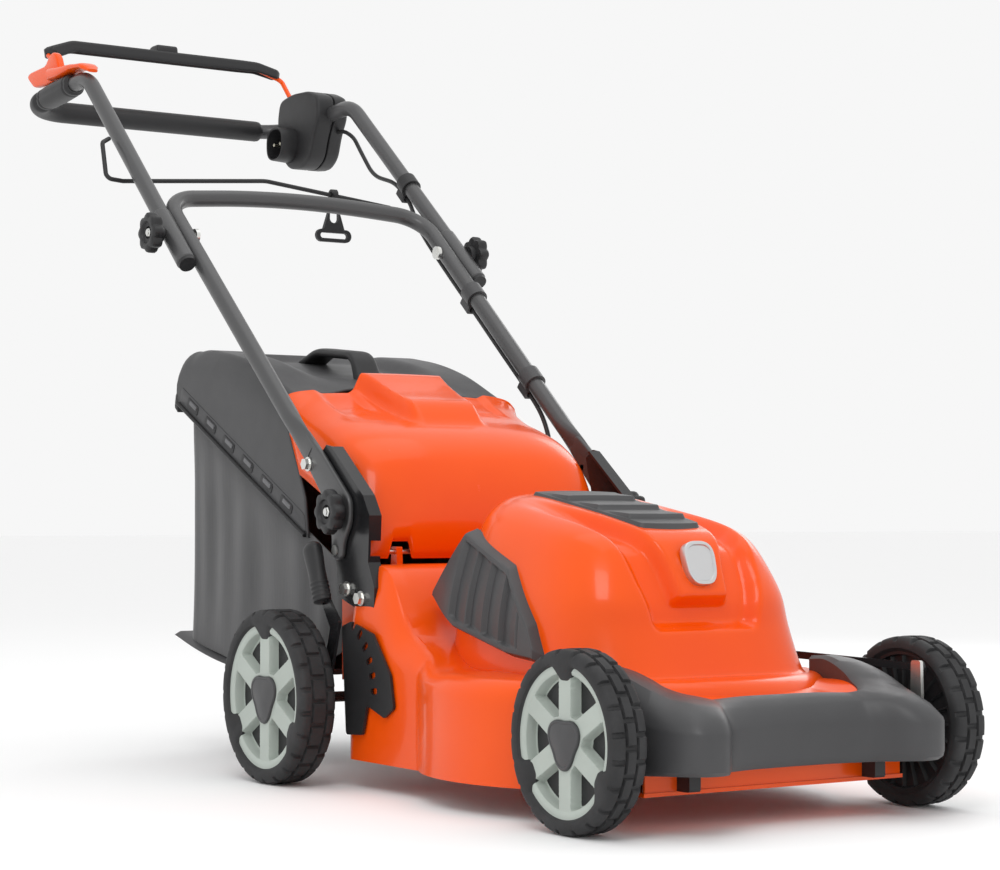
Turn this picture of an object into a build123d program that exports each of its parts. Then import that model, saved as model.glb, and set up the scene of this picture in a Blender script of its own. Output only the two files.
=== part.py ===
from build123d import *
import math
import os

# A walk-behind rotary lawn mower with a corded electric motor and a rear grass bag.
# The front faces -Y, +Z is up and Z = 0 is the ground.  Lengths are millimetres.
# Places along the mower are given from the middle of the wheelbase, which lies at MID_Y,
# so that the origin is the middle of the whole mower's footprint.

MID_Y = -365.5
WHEELBASE = 559.0
FRONT_RADIUS = 90.0
REAR_RADIUS = 100.0
FRONT_OUTER_X = 240.0
REAR_OUTER_X = 268.5
FRONT_TYRE_WIDTH = 41.0
REAR_TYRE_WIDTH = 46.0
STUB_RADIUS = 6.0
RUNNING_GAP = 0.05
CRANK_ARM = 45.0

BLADE_Y = -60.0
BLADE_RADIUS = 203.0
DECK_RADIUS = 225.0
DECK_BOTTOM = 32.0
SKIRT_TOP = 118.0
DECK_TOP = 140.0
HOUSING_HALF = 176.0
SHEET_WALL = 3.0
MOULDED_WALL = 3.0

HANDLE_SLOPE = 41.0
TUBE_RADIUS = 11.0
TUBE_WALL = 2.0
LOWER_X = 197.5
UPPER_X = 220.0
TOP_X = 211.0
PLATE_X = 189.0
PLATE_WALL = 3.0

SLOPE = math.radians(HANDLE_SLOPE)
FRONT_AXLE_Y = -WHEELBASE / 2
REAR_AXLE_Y = WHEELBASE / 2
FRONT_PIVOT = (FRONT_AXLE_Y - CRANK_ARM, FRONT_RADIUS)
REAR_PIVOT = (REAR_AXLE_Y - CRANK_ARM, REAR_RADIUS)
LOWER_PIVOT = (214.0, 312.0)
UPPER_PIVOT = (620.0, 669.0)
BAIL_PIVOT = (1010.0, 942.0)
FLAP_PIVOT = (216.0, 266.0)
CROSSBAR = (1112.0, 900.0)

os.makedirs("parts", exist_ok=True)


def side(y, z):
    """A point of a side view, measured from the middle of the wheelbase."""
    return (MID_Y + y, z)


def spot(x, y, z):
    """A point in space, measured from the middle of the wheelbase."""
    return (x, MID_Y + y, z)


def cross_plane(x):
    """The side-view plane at x, seen along +X."""
    return Plane.YZ.offset(x)


def save(piece, label):
    """Name a finished piece and write it."""
    piece.part.label = label
    export_step(piece.part, f"parts/{label}.step")


def up_slope(point, distance, x):
    """A point the given distance up the handle's slope from a side-view point."""
    return spot(x, point[0] + distance * math.cos(SLOPE), point[1] + distance * math.sin(SLOPE))


def side_block(outline, x_low, x_high, corner=0.0):
    """A block with the given side outline, between two X positions."""
    with BuildPart() as block:
        with BuildSketch(cross_plane(x_low)) as face:
            with BuildLine():
                Polyline(*[side(y, z) for y, z in outline], close=True)
            make_face()
            if corner:
                fillet(face.vertices(), corner)
        extrude(amount=x_high - x_low)
    return block.part


def disc_across(point, radius, x_low, x_high):
    """A round bar along X."""
    with BuildPart() as disc:
        with BuildSketch(cross_plane(x_low)):
            with Locations(side(*point)):
                Circle(radius)
        extrude(amount=x_high - x_low)
    return disc.part


def bent_bar(points, radii, radius, bore=0.0):
    """A round bar or tube bent along straight runs and arcs."""
    with BuildPart() as bar:
        with BuildLine() as path:
            FilletPolyline(*points, radius=radii)
        with BuildSketch(Plane(origin=path.line @ 0, z_dir=path.line % 0)):
            Circle(radius)
            if bore:
                Circle(bore, mode=Mode.SUBTRACT)
        sweep()
    return bar.part


# ------------------------------------------------------------------ wheels

def wheel_tyre(sign, axle_y, radius, outer_x, width):
    """A hollow-backed tyre with a crowned tread."""
    seat = 0.81 * radius
    centre = spot(0, axle_y, radius)
    with BuildPart() as tyre:
        with BuildSketch(Plane(origin=centre, x_dir=(1, 0, 0), z_dir=(0, -1, 0))):
            with BuildLine():
                Polyline(
                    (outer_x - width, seat),
                    (outer_x, seat),
                    (outer_x, radius - 5),
                    (outer_x - 6, radius - 0.6),
                    (outer_x - 0.5 * width, radius),
                    (outer_x - width + 6, radius - 0.6),
                    (outer_x - width, radius - 5),
                    close=True,
                )
            make_face()
        revolve(axis=Axis(centre, (1, 0, 0)))
        if sign < 0:
            mirror(about=Plane.YZ, mode=Mode.REPLACE)
    return tyre


def wheel_rim(sign, axle_y, radius, outer_x, width):
    """A dished rim with six windows, and the rounded cap over its hub."""
    seat = 0.81 * radius
    hub = 0.2 * radius
    centre = spot(0, axle_y, radius)
    disc_low = outer_x - 0.45 * width
    disc_high = disc_low + 5
    with BuildPart() as rim:
        with BuildSketch(Plane(origin=centre, x_dir=(1, 0, 0), z_dir=(0, -1, 0))):
            with BuildLine():
                Polyline(
                    (outer_x - width + 2, STUB_RADIUS + RUNNING_GAP),
                    (outer_x - 8, STUB_RADIUS + RUNNING_GAP),
                    (outer_x - 8, hub),
                    (disc_high, hub + 4),
                    (disc_high, 0.7 * radius),
                    (outer_x - 1, seat - 5),
                    (outer_x - 1, seat),
                    (outer_x - width, seat),
                    (outer_x - width, seat - 4),
                    (disc_low, seat - 5),
                    (disc_low, hub),
                    (outer_x - width + 2, hub),
                    close=True,
                )
            make_face()
        revolve(axis=Axis(centre, (1, 0, 0)))
        with BuildSketch(cross_plane(outer_x - width)):
            with Locations(side(axle_y, radius)):
                with PolarLocations(0.5 * radius, 6, start_angle=30):
                    Polygon(
                        (-0.14 * radius, 0),
                        (0.15 * radius, 0.17 * radius),
                        (0.15 * radius, -0.17 * radius),
                        align=None,
                    )
        extrude(amount=width, mode=Mode.SUBTRACT)
        with BuildSketch(cross_plane(outer_x - 7.9)) as cap:
            with Locations(side(axle_y, radius)):
                RegularPolygon(0.34 * radius, 3, rotation=-90)
            fillet(cap.vertices(), 0.1 * radius)
        extrude(amount=7)
        if sign < 0:
            mirror(about=Plane.YZ, mode=Mode.REPLACE)
    return rim


WHEELS = {
    "front_right": (-1, FRONT_AXLE_Y, FRONT_RADIUS, FRONT_OUTER_X, FRONT_TYRE_WIDTH),
    "front_left": (1, FRONT_AXLE_Y, FRONT_RADIUS, FRONT_OUTER_X, FRONT_TYRE_WIDTH),
    "rear_right": (-1, REAR_AXLE_Y, REAR_RADIUS, REAR_OUTER_X, REAR_TYRE_WIDTH),
    "rear_left": (1, REAR_AXLE_Y, REAR_RADIUS, REAR_OUTER_X, REAR_TYRE_WIDTH),
}
for name, shape in WHEELS.items():
    save(wheel_tyre(*shape), f"{name}_tyre")
    save(wheel_rim(*shape), f"{name}_rim")


# ------------------------------------------------------------------ crank axles and the height setting

FRONT_ARM_X = 191.5
REAR_ARM_X = 212.0
LINK_X = 184.0
LINK_RISE = 60.0
LINK_PIN_RADIUS = 3.0
SADDLE_WIDTH = 14.0
LEVER_X = 208.0


def crank_path(pivot, arm_x, wheel_x, axle_y, axle_z):
    """The crank's bend points, from one wheel stub over the cross bar to the other."""
    half = [
        spot(wheel_x - 10, axle_y, axle_z),
        spot(arm_x, axle_y, axle_z),
        spot(arm_x, *pivot),
    ]
    other = [(-x, y, z) for x, y, z in reversed(half)]
    return half + other


def link_lug(pivot):
    """The lug that carries the link rod's pin above a cross bar."""
    outline = [
        (pivot[0] - 9, pivot[1]),
        (pivot[0] + 9, pivot[1]),
        (pivot[0] + 7, pivot[1] + LINK_RISE + 7),
        (pivot[0] - 7, pivot[1] + LINK_RISE + 7),
    ]
    return side_block(outline, LINK_X - 3, LINK_X + 1, corner=3)


front_bar = bent_bar(
    crank_path(FRONT_PIVOT, FRONT_ARM_X, FRONT_OUTER_X, FRONT_AXLE_Y, FRONT_RADIUS), 10, STUB_RADIUS
)
rear_bar = bent_bar(
    crank_path(REAR_PIVOT, REAR_ARM_X, REAR_OUTER_X, REAR_AXLE_Y, REAR_RADIUS), 10, STUB_RADIUS
)

with BuildPart() as front_axle:
    add(front_bar)
    add(link_lug(FRONT_PIVOT))
    add(disc_across((FRONT_PIVOT[0], FRONT_PIVOT[1] + LINK_RISE), LINK_PIN_RADIUS, LINK_X, LINK_X + 5))
save(front_axle, "front_axle")

LEVER_FOOT = (205.0, 186.0)
LEVER_NECK = (230.0, 208.0)
LEVER_TOP = (257.0, 270.0)
lever_strip = [
    (REAR_PIVOT[0] + 9, REAR_PIVOT[1] - 4),
    (REAR_PIVOT[0] - 9, REAR_PIVOT[1] - 4),
    (LEVER_FOOT[0] - 8, LEVER_FOOT[1] + 2),
    (LEVER_NECK[0] - 8, LEVER_NECK[1] + 5),
    (LEVER_NECK[0] + 6, LEVER_NECK[1] - 1),
    (LEVER_FOOT[0] + 12, LEVER_FOOT[1] - 6),
]
lever_rise = math.hypot(LEVER_TOP[0] - LEVER_NECK[0], LEVER_TOP[1] - LEVER_NECK[1])

with BuildPart() as rear_axle:
    add(rear_bar)
    add(link_lug(REAR_PIVOT))
    add(disc_across((REAR_PIVOT[0], REAR_PIVOT[1] + LINK_RISE), LINK_PIN_RADIUS, LINK_X, LINK_X + 5))
    add(side_block(lever_strip, -LEVER_X - 4, -LEVER_X, corner=3))
    with BuildSketch(
        Plane(
            origin=spot(-LEVER_X - 2, *LEVER_NECK),
            x_dir=(1, 0, 0),
            z_dir=(0, LEVER_TOP[0] - LEVER_NECK[0], LEVER_TOP[1] - LEVER_NECK[1]),
        )
    ):
        Circle(4)
    extrude(amount=lever_rise - 6)
save(rear_axle, "rear_axle")

with BuildPart() as lever_grip:
    grip_plane = Plane(
        origin=spot(-LEVER_X - 3, *LEVER_NECK),
        x_dir=(1, 0, 0),
        z_dir=(0, LEVER_TOP[0] - LEVER_NECK[0], LEVER_TOP[1] - LEVER_NECK[1]),
    ).offset(5)
    with BuildSketch(grip_plane):
        Ellipse(8.5, 10)
    with BuildSketch(grip_plane.offset(lever_rise - 10)):
        Ellipse(8.5, 13)
    loft()
    with BuildSketch(grip_plane.offset(-1)):
        with Locations((1, 0)):
            Circle(4.02)
    extrude(amount=lever_rise - 9.9, mode=Mode.SUBTRACT)
save(lever_grip, "lever_grip")

with BuildPart() as link_rod:
    ends = [
        (FRONT_PIVOT[0], FRONT_PIVOT[1] + LINK_RISE),
        (REAR_PIVOT[0], REAR_PIVOT[1] + LINK_RISE),
    ]
    bar = [
        (ends[0][0], ends[0][1] - 4),
        (ends[1][0], ends[1][1] - 4),
        (ends[1][0], ends[1][1] + 4),
        (ends[0][0], ends[0][1] + 4),
    ]
    add(side_block(bar, LINK_X + 1.5, LINK_X + 4.5))
    for end in ends:
        add(disc_across(end, 7, LINK_X + 1.5, LINK_X + 4.5))
    add(
        disc_across(ends[1], LINK_PIN_RADIUS + RUNNING_GAP, LINK_X, LINK_X + 6),
        mode=Mode.SUBTRACT,
    )
    add(disc_across(ends[0], LINK_PIN_RADIUS + 0.5, LINK_X, LINK_X + 6), mode=Mode.SUBTRACT)
save(link_rod, "link_rod")

SADDLES = [
    (FRONT_PIVOT, 120.0, 40.0, 98.0),
    (REAR_PIVOT, 140.0, 88.0, 118.0),
]
with BuildPart() as axle_saddles:
    for pivot, saddle_x, low, high in SADDLES:
        outline = [
            (pivot[0] - 12, low),
            (pivot[0] + 12, low),
            (pivot[0] + 12, high),
            (pivot[0] - 12, high),
        ]
        bore = disc_across(pivot, STUB_RADIUS + RUNNING_GAP, saddle_x - 20, saddle_x + 20)
        block = side_block(outline, saddle_x - SADDLE_WIDTH / 2, saddle_x + SADDLE_WIDTH / 2, corner=3)
        add(block - bore)
    mirror(about=Plane.YZ)
save(axle_saddles, "axle_saddles")

QUADRANT_X = 200.0
with BuildPart() as height_quadrant:
    quadrant = [
        (196.0, 60.0),
        (206.0, 182.0),
        (186.0, 188.0),
        (138.0, 176.0),
        (100.0, 132.0),
        (92.0, 96.0),
        (112.0, 84.0),
        (150.0, 96.0),
        (160.0, 62.0),
    ]
    add(side_block(quadrant, -QUADRANT_X - 3, -QUADRANT_X, corner=5))
    add(side_block([(168, 62), (190, 62), (190, 84), (168, 84)], -QUADRANT_X, -196.0, corner=2))
    with BuildSketch(cross_plane(-QUADRANT_X - 3)):
        with Locations(side(*REAR_PIVOT)):
            with PolarLocations(101, 6, start_angle=123, angular_range=50, endpoint=True):
                SlotOverall(14, 7)
    extrude(amount=3, mode=Mode.SUBTRACT)
save(height_quadrant, "height_quadrant")


# ------------------------------------------------------------------ deck

BRACKET_BOLTS = [(213.0, 224.0), (181.0, 214.0)]
LOCATING_BOLT = (226.0, 268.0)
BOLT_RADIUS = 4.0


def deck_body(inset, drop):
    """The pressed deck's outside, drawn in by inset all round and lowered by drop at the rim."""
    with BuildPart() as body:
        with BuildSketch(Plane.XY.offset(DECK_BOTTOM - drop)):
            with Locations(spot(0, BLADE_Y, 0)[:2]):
                Circle(DECK_RADIUS - inset)
            with Locations(spot(0, 67 - inset / 2, 0)[:2]):
                Rectangle(2 * (196 - inset), 256 - inset)
        extrude(amount=SKIRT_TOP + drop - DECK_BOTTOM - inset / 2)
        with BuildSketch(Plane.XY.offset(SKIRT_TOP - inset)):
            with Locations(spot(0, BLADE_Y, 0)[:2]):
                Circle(DECK_RADIUS - 22 - inset)
            with Locations(spot(0, 67 - inset / 2, 0)[:2]):
                Rectangle(2 * (HOUSING_HALF - inset), 256 - inset)
        extrude(amount=DECK_TOP - SKIRT_TOP)
        housing = [
            (-60 + inset, 100),
            (-60 + inset, 139 - inset),
            (18, 140 - inset),
            (92 + inset / 2, 179 - inset),
            (141 + inset / 2, 242 - inset),
            (176, 250 - inset),
            (252 + drop, 250 - inset),
            (252 + drop, 118 + inset),
            (195, 118 + inset),
            (195 - inset, 100),
        ]
        add(side_block(housing, -HOUSING_HALF + inset, HOUSING_HALF - inset))
    return body.part


with BuildPart() as deck:
    add(deck_body(0, 0))
    add(deck_body(SHEET_WALL, 20), mode=Mode.SUBTRACT)
    apron = [(-318.0, 36.0), (-240.0, 36.0), (-240.0, 40.0), (-318.0, 40.0)]
    add(side_block(apron, -168, 168))
    with BuildSketch(Plane.XY.offset(20)):
        with Locations(spot(0, BLADE_Y, 0)[:2]):
            Circle(DECK_RADIUS - SHEET_WALL)
    extrude(amount=60, mode=Mode.SUBTRACT)
    with BuildSketch(Plane.XY.offset(DECK_TOP - 20)):
        with Locations(spot(0, BLADE_Y, 0)[:2]):
            Circle(24)
    extrude(amount=30, mode=Mode.SUBTRACT)
    for hinge_x in (-128, 120):
        ear = [
            (FLAP_PIVOT[0] - 7, 246),
            (FLAP_PIVOT[0] + 7, 246),
            (FLAP_PIVOT[0] + 6, FLAP_PIVOT[1] + 6),
            (FLAP_PIVOT[0] - 6, FLAP_PIVOT[1] + 6),
        ]
        add(side_block(ear, hinge_x, hinge_x + 8, corner=2))
    add(disc_across(FLAP_PIVOT, 3, -200, 200), mode=Mode.SUBTRACT)
    for bolt in BRACKET_BOLTS:
        add(disc_across(bolt, BOLT_RADIUS, -200, 200), mode=Mode.SUBTRACT)
save(deck, "deck")


# ------------------------------------------------------------------ motor and blade

SHAFT_RADIUS = 7.0


def turned(profile):
    """A body turned about the blade's upright axis from (radius, height) points."""
    centre = spot(0, BLADE_Y, 0)
    with BuildPart() as body:
        with BuildSketch(Plane(origin=centre, x_dir=(1, 0, 0), z_dir=(0, -1, 0))):
            with BuildLine():
                Polyline(*profile, close=True)
            make_face()
        revolve(axis=Axis(centre, (0, 0, 1)))
    return body.part


with BuildPart() as motor_stator:
    add(turned([(36, 162), (62, 162), (62, 228), (36, 228)]))
    add(turned([(17.5, 140), (74, 140), (74, 146), (66, 150), (66, 250), (17.5, 250), (17.5, 236),
                (62, 236), (62, 154), (17.5, 154)]))
save(motor_stator, "motor_stator")

with BuildPart() as motor_bearings:
    for low in (140, 238):
        add(turned([(SHAFT_RADIUS + RUNNING_GAP, low), (17.5, low), (17.5, low + 12),
                    (SHAFT_RADIUS + RUNNING_GAP, low + 12)]))
save(motor_bearings, "motor_bearings")

with BuildPart() as motor_rotor:
    add(turned([(0, 62), (SHAFT_RADIUS, 62), (SHAFT_RADIUS, 166), (35.4, 166), (35.4, 224),
                (SHAFT_RADIUS, 224), (SHAFT_RADIUS, 272), (0, 272)]))
save(motor_rotor, "motor_rotor")

with BuildPart() as cooling_fan:
    add(turned([(SHAFT_RADIUS, 254), (52, 254), (52, 257), (14, 257), (14, 270), (SHAFT_RADIUS, 270)]))
    with BuildSketch(Plane.XY.offset(256.9)):
        with Locations(spot(0, BLADE_Y, 0)[:2]):
            with PolarLocations(34, 9):
                Rectangle(34, 2, rotation=24)
    extrude(amount=13)
save(cooling_fan, "cooling_fan")

with BuildPart() as blade_hub:
    add(turned([(SHAFT_RADIUS, 66), (26, 66), (26, 72), (16, 78), (16, 100), (SHAFT_RADIUS, 100)]))
save(blade_hub, "blade_hub")

with BuildPart() as cutting_blade:
    with BuildSketch(Plane.XY.offset(62)):
        with Locations(spot(0, BLADE_Y, 0)[:2]):
            RectangleRounded(2 * BLADE_RADIUS, 48, 6)
            Circle(SHAFT_RADIUS, mode=Mode.SUBTRACT)
    extrude(amount=4)
    for turn in (1, -1):
        with BuildSketch(Plane(origin=spot(turn * 150, BLADE_Y + turn * 20, 66), x_dir=(1, 0, 0),
                               z_dir=(0, 0, 1))):
            Rectangle(84, 8)
        extrude(amount=14, taper=6)
save(cutting_blade, "cutting_blade")

with BuildPart() as blade_bolt:
    with BuildSketch(Plane.XY.offset(48)):
        with Locations(spot(0, BLADE_Y, 0)[:2]):
            RegularPolygon(12, 6)
    extrude(amount=10)
    with BuildSketch(Plane.XY.offset(58)):
        with Locations(spot(0, BLADE_Y, 0)[:2]):
            Circle(20)
    extrude(amount=4)
save(blade_bolt, "blade_bolt")


# ------------------------------------------------------------------ hood, vents, grille, badge, bumper

HOOD_SECTIONS = [
    # height, front y, rear y, half width, corner radius
    (128.0, -322.0, 104.0, 148.0, 26.0),
    (150.0, -224.0, 102.0, 149.0, 56.0),
    (220.0, -202.0, 92.0, 150.0, 62.0),
    (286.0, -172.0, 78.0, 126.0, 66.0),
    (344.0, -90.0, 62.0, 96.0, 60.0),
]
HOOD_ROOF = [(-172.0, 290.0), (51.0, 334.0)]


def hood_body(inset, drop):
    """The motor hood's outside, drawn in by inset and lowered by drop at the rim."""
    rise = (HOOD_ROOF[1][1] - HOOD_ROOF[0][1]) / (HOOD_ROOF[1][0] - HOOD_ROOF[0][0])
    with BuildPart() as body:
        for height, front, rear, half, corner in HOOD_SECTIONS:
            with BuildSketch(Plane.XY.offset(height)):
                with Locations(spot(0, (front + rear) / 2, 0)[:2]):
                    RectangleRounded(2 * (half - inset), rear - front - 2 * inset, corner - inset)
        loft(ruled=True)
        above = [
            (-400, HOOD_ROOF[0][1] - 228 * rise - inset),
            (200, HOOD_ROOF[0][1] + 372 * rise - inset),
            (200, 420),
            (-400, 420),
        ]
        add(side_block(above, -200, 200), mode=Mode.SUBTRACT)
        if drop:
            with BuildSketch(Plane.XY.offset(128 - drop)):
                with Locations(spot(0, -109, 0)[:2]):
                    RectangleRounded(2 * (148 - inset), 426 - 2 * inset, 26 - inset)
            extrude(amount=drop)
    return body.part


deck_outside = deck_body(0, 0)
with BuildPart() as hood:
    add(hood_body(0, 0))
    add(hood_body(MOULDED_WALL, 5), mode=Mode.SUBTRACT)
    add(deck_outside, mode=Mode.SUBTRACT)
save(hood, "hood")

with BuildPart() as hood_grille:
    roof = math.degrees(math.atan2(HOOD_ROOF[1][1] - HOOD_ROOF[0][1], HOOD_ROOF[1][0] - HOOD_ROOF[0][0]))
    grille_plane = Plane(
        origin=spot(0, -50, HOOD_ROOF[0][1] + 122 * math.tan(math.radians(roof))),
        x_dir=(1, 0, 0),
        z_dir=(0, -math.sin(math.radians(roof)), math.cos(math.radians(roof))),
    )
    with BuildSketch(grille_plane):
        RectangleRounded(120, 190, 14)
    extrude(amount=3)
    for step in range(3):
        with BuildSketch(grille_plane.offset(3)):
            with Locations((0, -62 + 62 * step)):
                Rectangle(104, 50)
        extrude(amount=4, taper=20)
save(hood_grille, "hood_grille")

with BuildPart() as hood_badge:
    badge_plane = Plane(origin=spot(0, -190, 262), x_dir=(1, 0, 0), z_dir=(0, -0.88, 0.48))
    with BuildSketch(badge_plane):
        Circle(20)
    extrude(amount=4)
    add(hood_body(0, 0), mode=Mode.SUBTRACT)
save(hood_badge, "hood_badge")

with BuildPart() as side_vents:
    vent = [
        (54.0, 292.0),
        (-44.0, 257.0),
        (-124.0, 160.0),
        (-70.0, 158.0),
        (31.0, 182.0),
        (88.0, 218.0),
    ]
    add(side_block(vent, 118, 165, corner=6))
    add(hood_body(0, 0), mode=Mode.SUBTRACT)
    add(side_block([(-130, 262), (-40, 262), (-40, 300), (-130, 300)], 118, 170), mode=Mode.SUBTRACT)
    mirror(about=Plane.YZ)
save(side_vents, "side_vents")

BUMPER_PLAN = [
    (178.0, -200.0),
    (178.0, -332.0),
    (158.0, -392.0),
    (128.0, -396.0),
    (86.0, -352.0),
    (0.0, -343.0),
]


def bumper_body(inset, low, high):
    """The bumper's outside: a bow across the front with an arm down each side."""
    near = [(x - inset, y + inset) for x, y in BUMPER_PLAN]
    near[0] = (178 - inset, -200 + 5 * inset)
    near[-1] = (0.0, -343 + inset)
    far = [(-x, y) for x, y in reversed(near[:-1])]
    with BuildPart() as body:
        with BuildSketch(Plane.XY.offset(low)):
            with BuildLine():
                Polyline(*[(x, MID_Y + y) for x, y in near + far], close=True)
            make_face()
        extrude(amount=high - low)
    return body.part


with BuildPart() as front_bumper:
    add(bumper_body(0, 56, 152))
    add(side_block([(-420, 122), (-330, 127), (-180, 153), (-180, 170), (-420, 170)], -200, 200),
        mode=Mode.SUBTRACT)
    add(bumper_body(MOULDED_WALL, 50, 119), mode=Mode.SUBTRACT)
    add(side_block([(-326, 40), (-150, 40), (-150, 180), (-326, 180)], -150, 150), mode=Mode.SUBTRACT)
    add(deck_outside, mode=Mode.SUBTRACT)
    add(disc_across(FRONT_PIVOT, 9, -200, 200), mode=Mode.SUBTRACT)
save(front_bumper, "front_bumper")


# ------------------------------------------------------------------ handle brackets

BRACKET_FRONT = [(262, 390), (251, 388), (178, 331), (163, 308), (166, 255), (152, 227), (153, 199)]
BRACKET_REAR = [(165, 194), (234, 215), (236, 248), (252, 290), (276, 380)]

with BuildPart() as handle_brackets:
    add(side_block(BRACKET_FRONT + BRACKET_REAR, PLATE_X, PLATE_X + PLATE_WALL))
    bent_edge = BRACKET_FRONT[1:]
    flange = bent_edge + [(y + 3.5, z - 1.5) for y, z in reversed(bent_edge)]
    add(side_block(flange, HOUSING_HALF, PLATE_X))
    cable_notch = [(150, 258), (184, 266), (184, 284), (150, 276)]
    add(side_block(cable_notch, HOUSING_HALF - 1, PLATE_X), mode=Mode.SUBTRACT)
    for hole in BRACKET_BOLTS + [LOCATING_BOLT, LOWER_PIVOT]:
        add(disc_across(hole, BOLT_RADIUS, 170, 200), mode=Mode.SUBTRACT)
    mirror(about=Plane.YZ)
save(handle_brackets, "handle_brackets")


def hex_bolt(point, x_head, shank, washer=True):
    """A hexagon bolt along X with its head outwards."""
    with BuildPart() as bolt:
        add(disc_across(point, BOLT_RADIUS, x_head - shank, x_head))
        if washer:
            add(disc_across(point, 8.5, x_head, x_head + 1.5))
        with BuildSketch(cross_plane(x_head + 1.5 * washer)):
            with Locations(side(*point)):
                RegularPolygon(7.0, 6)
        extrude(amount=5.5)
    return bolt.part


PLATE_OUTER = PLATE_X + PLATE_WALL
FLAT_LOW = PLATE_OUTER + 0.4
FLAT_HIGH = 200.0

with BuildPart() as bracket_bolts:
    for bolt in BRACKET_BOLTS:
        add(hex_bolt(bolt, PLATE_OUTER, 20))
    add(disc_across(LOCATING_BOLT, BOLT_RADIUS, PLATE_X - 4, FLAT_HIGH + 1))
    add(disc_across(LOCATING_BOLT, 7, PLATE_X - 8, PLATE_X))
    add(disc_across(LOCATING_BOLT, 6, FLAT_HIGH + 0.5, FLAT_HIGH + 2.1))
    add(disc_across(LOWER_PIVOT, BOLT_RADIUS, PLATE_X - 4, FLAT_HIGH + 21))
    add(disc_across(LOWER_PIVOT, 8, PLATE_X - 8, PLATE_X))
    mirror(about=Plane.YZ)
save(bracket_bolts, "bracket_bolts")


# ------------------------------------------------------------------ lower handle

LEG_LENGTH = 411.0
BAR_CROWN = 26.0

CROSSBAR_RISE = 82.0

lower_points = [
    up_slope(UPPER_PIVOT, -LEG_LENGTH, LOWER_X),
    up_slope(UPPER_PIVOT, CROSSBAR_RISE, LOWER_X),
    up_slope(UPPER_PIVOT, CROSSBAR_RISE + BAR_CROWN, 0),
    up_slope(UPPER_PIVOT, CROSSBAR_RISE, -LOWER_X),
    up_slope(UPPER_PIVOT, -LEG_LENGTH, -LOWER_X),
]
FLAT_END = [
    (322.0, 393.0),
    (304.0, 412.0),
    (258.0, 378.0),
    (196.0, 326.0),
    (196.0, 300.0),
    (213.0, 275.0),
    (214.0, 258.0),
    (236.0, 256.0),
    (238.0, 296.0),
    (252.0, 322.0),
]

with BuildPart() as lower_handle:
    add(bent_bar(lower_points, [48, 900, 48], TUBE_RADIUS, TUBE_RADIUS - TUBE_WALL))
    ends = side_block(FLAT_END, FLAT_LOW, FLAT_HIGH, corner=4)
    bores = disc_across(LOWER_PIVOT, BOLT_RADIUS + 0.08, 180, 210)
    notch = side_block(
        [(190, LOCATING_BOLT[1] - BOLT_RADIUS - 2.4), (LOCATING_BOLT[0], LOCATING_BOLT[1] - BOLT_RADIUS - 2.4),
         (LOCATING_BOLT[0], LOCATING_BOLT[1] + BOLT_RADIUS + 0.4), (190, LOCATING_BOLT[1] + BOLT_RADIUS + 1.4)],
        180, 210,
    ) + disc_across(LOCATING_BOLT, BOLT_RADIUS + 0.4, 180, 210)
    flat = ends - bores - notch
    add(flat)
    add(flat.mirror(Plane.YZ))
    add(disc_across(UPPER_PIVOT, BOLT_RADIUS, -260, 260), mode=Mode.SUBTRACT)
    add(disc_across((290, 368), BOLT_RADIUS, -260, 260), mode=Mode.SUBTRACT)
save(lower_handle, "lower_handle")

with BuildPart() as handle_bolts:
    add(disc_across(UPPER_PIVOT, BOLT_RADIUS, LOWER_X - TUBE_RADIUS - 2, UPPER_X + TUBE_RADIUS + 22))
    with BuildSketch(cross_plane(LOWER_X - TUBE_RADIUS - 5)):
        with Locations(side(*UPPER_PIVOT)):
            Circle(9)
    extrude(amount=5)
    add(hex_bolt((290, 368), FLAT_HIGH, 7.6))
    mirror(about=Plane.YZ)
save(handle_bolts, "handle_bolts")


def cable_clip(centre, x, wide):
    """A snap clip that wraps the tube at centre and holds the cable beside it."""
    along = (0, math.cos(SLOPE), math.sin(SLOPE))
    plane = Plane(origin=spot(x, *centre), x_dir=(1, 0, 0), z_dir=along).offset(-wide / 2)
    with BuildPart() as clip:
        with BuildSketch(plane):
            Circle(TUBE_RADIUS + 3.5)
            with Locations((0, TUBE_RADIUS + 4)):
                RectangleRounded(16, 18, 3)
            Circle(TUBE_RADIUS + 0.3, mode=Mode.SUBTRACT)
            with Locations((0, TUBE_RADIUS + 6)):
                Circle(5.0, mode=Mode.SUBTRACT)
        extrude(amount=wide)
    return clip.part


def upper_x(distance):
    """The X of the upper handle's leg, which leans in from the bolt to the grips."""
    return UPPER_X + (TOP_X - UPPER_X) * (distance + 60) / 435


def on_slope(distance):
    """The side-view point the given distance up the handle from the upper bolt."""
    return (UPPER_PIVOT[0] + distance * math.cos(SLOPE), UPPER_PIVOT[1] + distance * math.sin(SLOPE))


with BuildPart() as lower_cable_clips:
    for distance in (-96, -280):
        add(cable_clip(on_slope(distance), LOWER_X, 22))
save(lower_cable_clips, "lower_cable_clips")


# ------------------------------------------------------------------ upper handle

GRIP_BEND = spot(TOP_X, 903, 915)
upper_points = [
    up_slope(UPPER_PIVOT, -60, UPPER_X),
    GRIP_BEND,
    spot(TOP_X, *CROSSBAR),
]
upper_points += [(-x, y, z) for x, y, z in reversed(upper_points)]
SLEEVE_RADIUS = 12.5
FLAT_SIDE = LOWER_X + TUBE_RADIUS + 0.4

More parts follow.
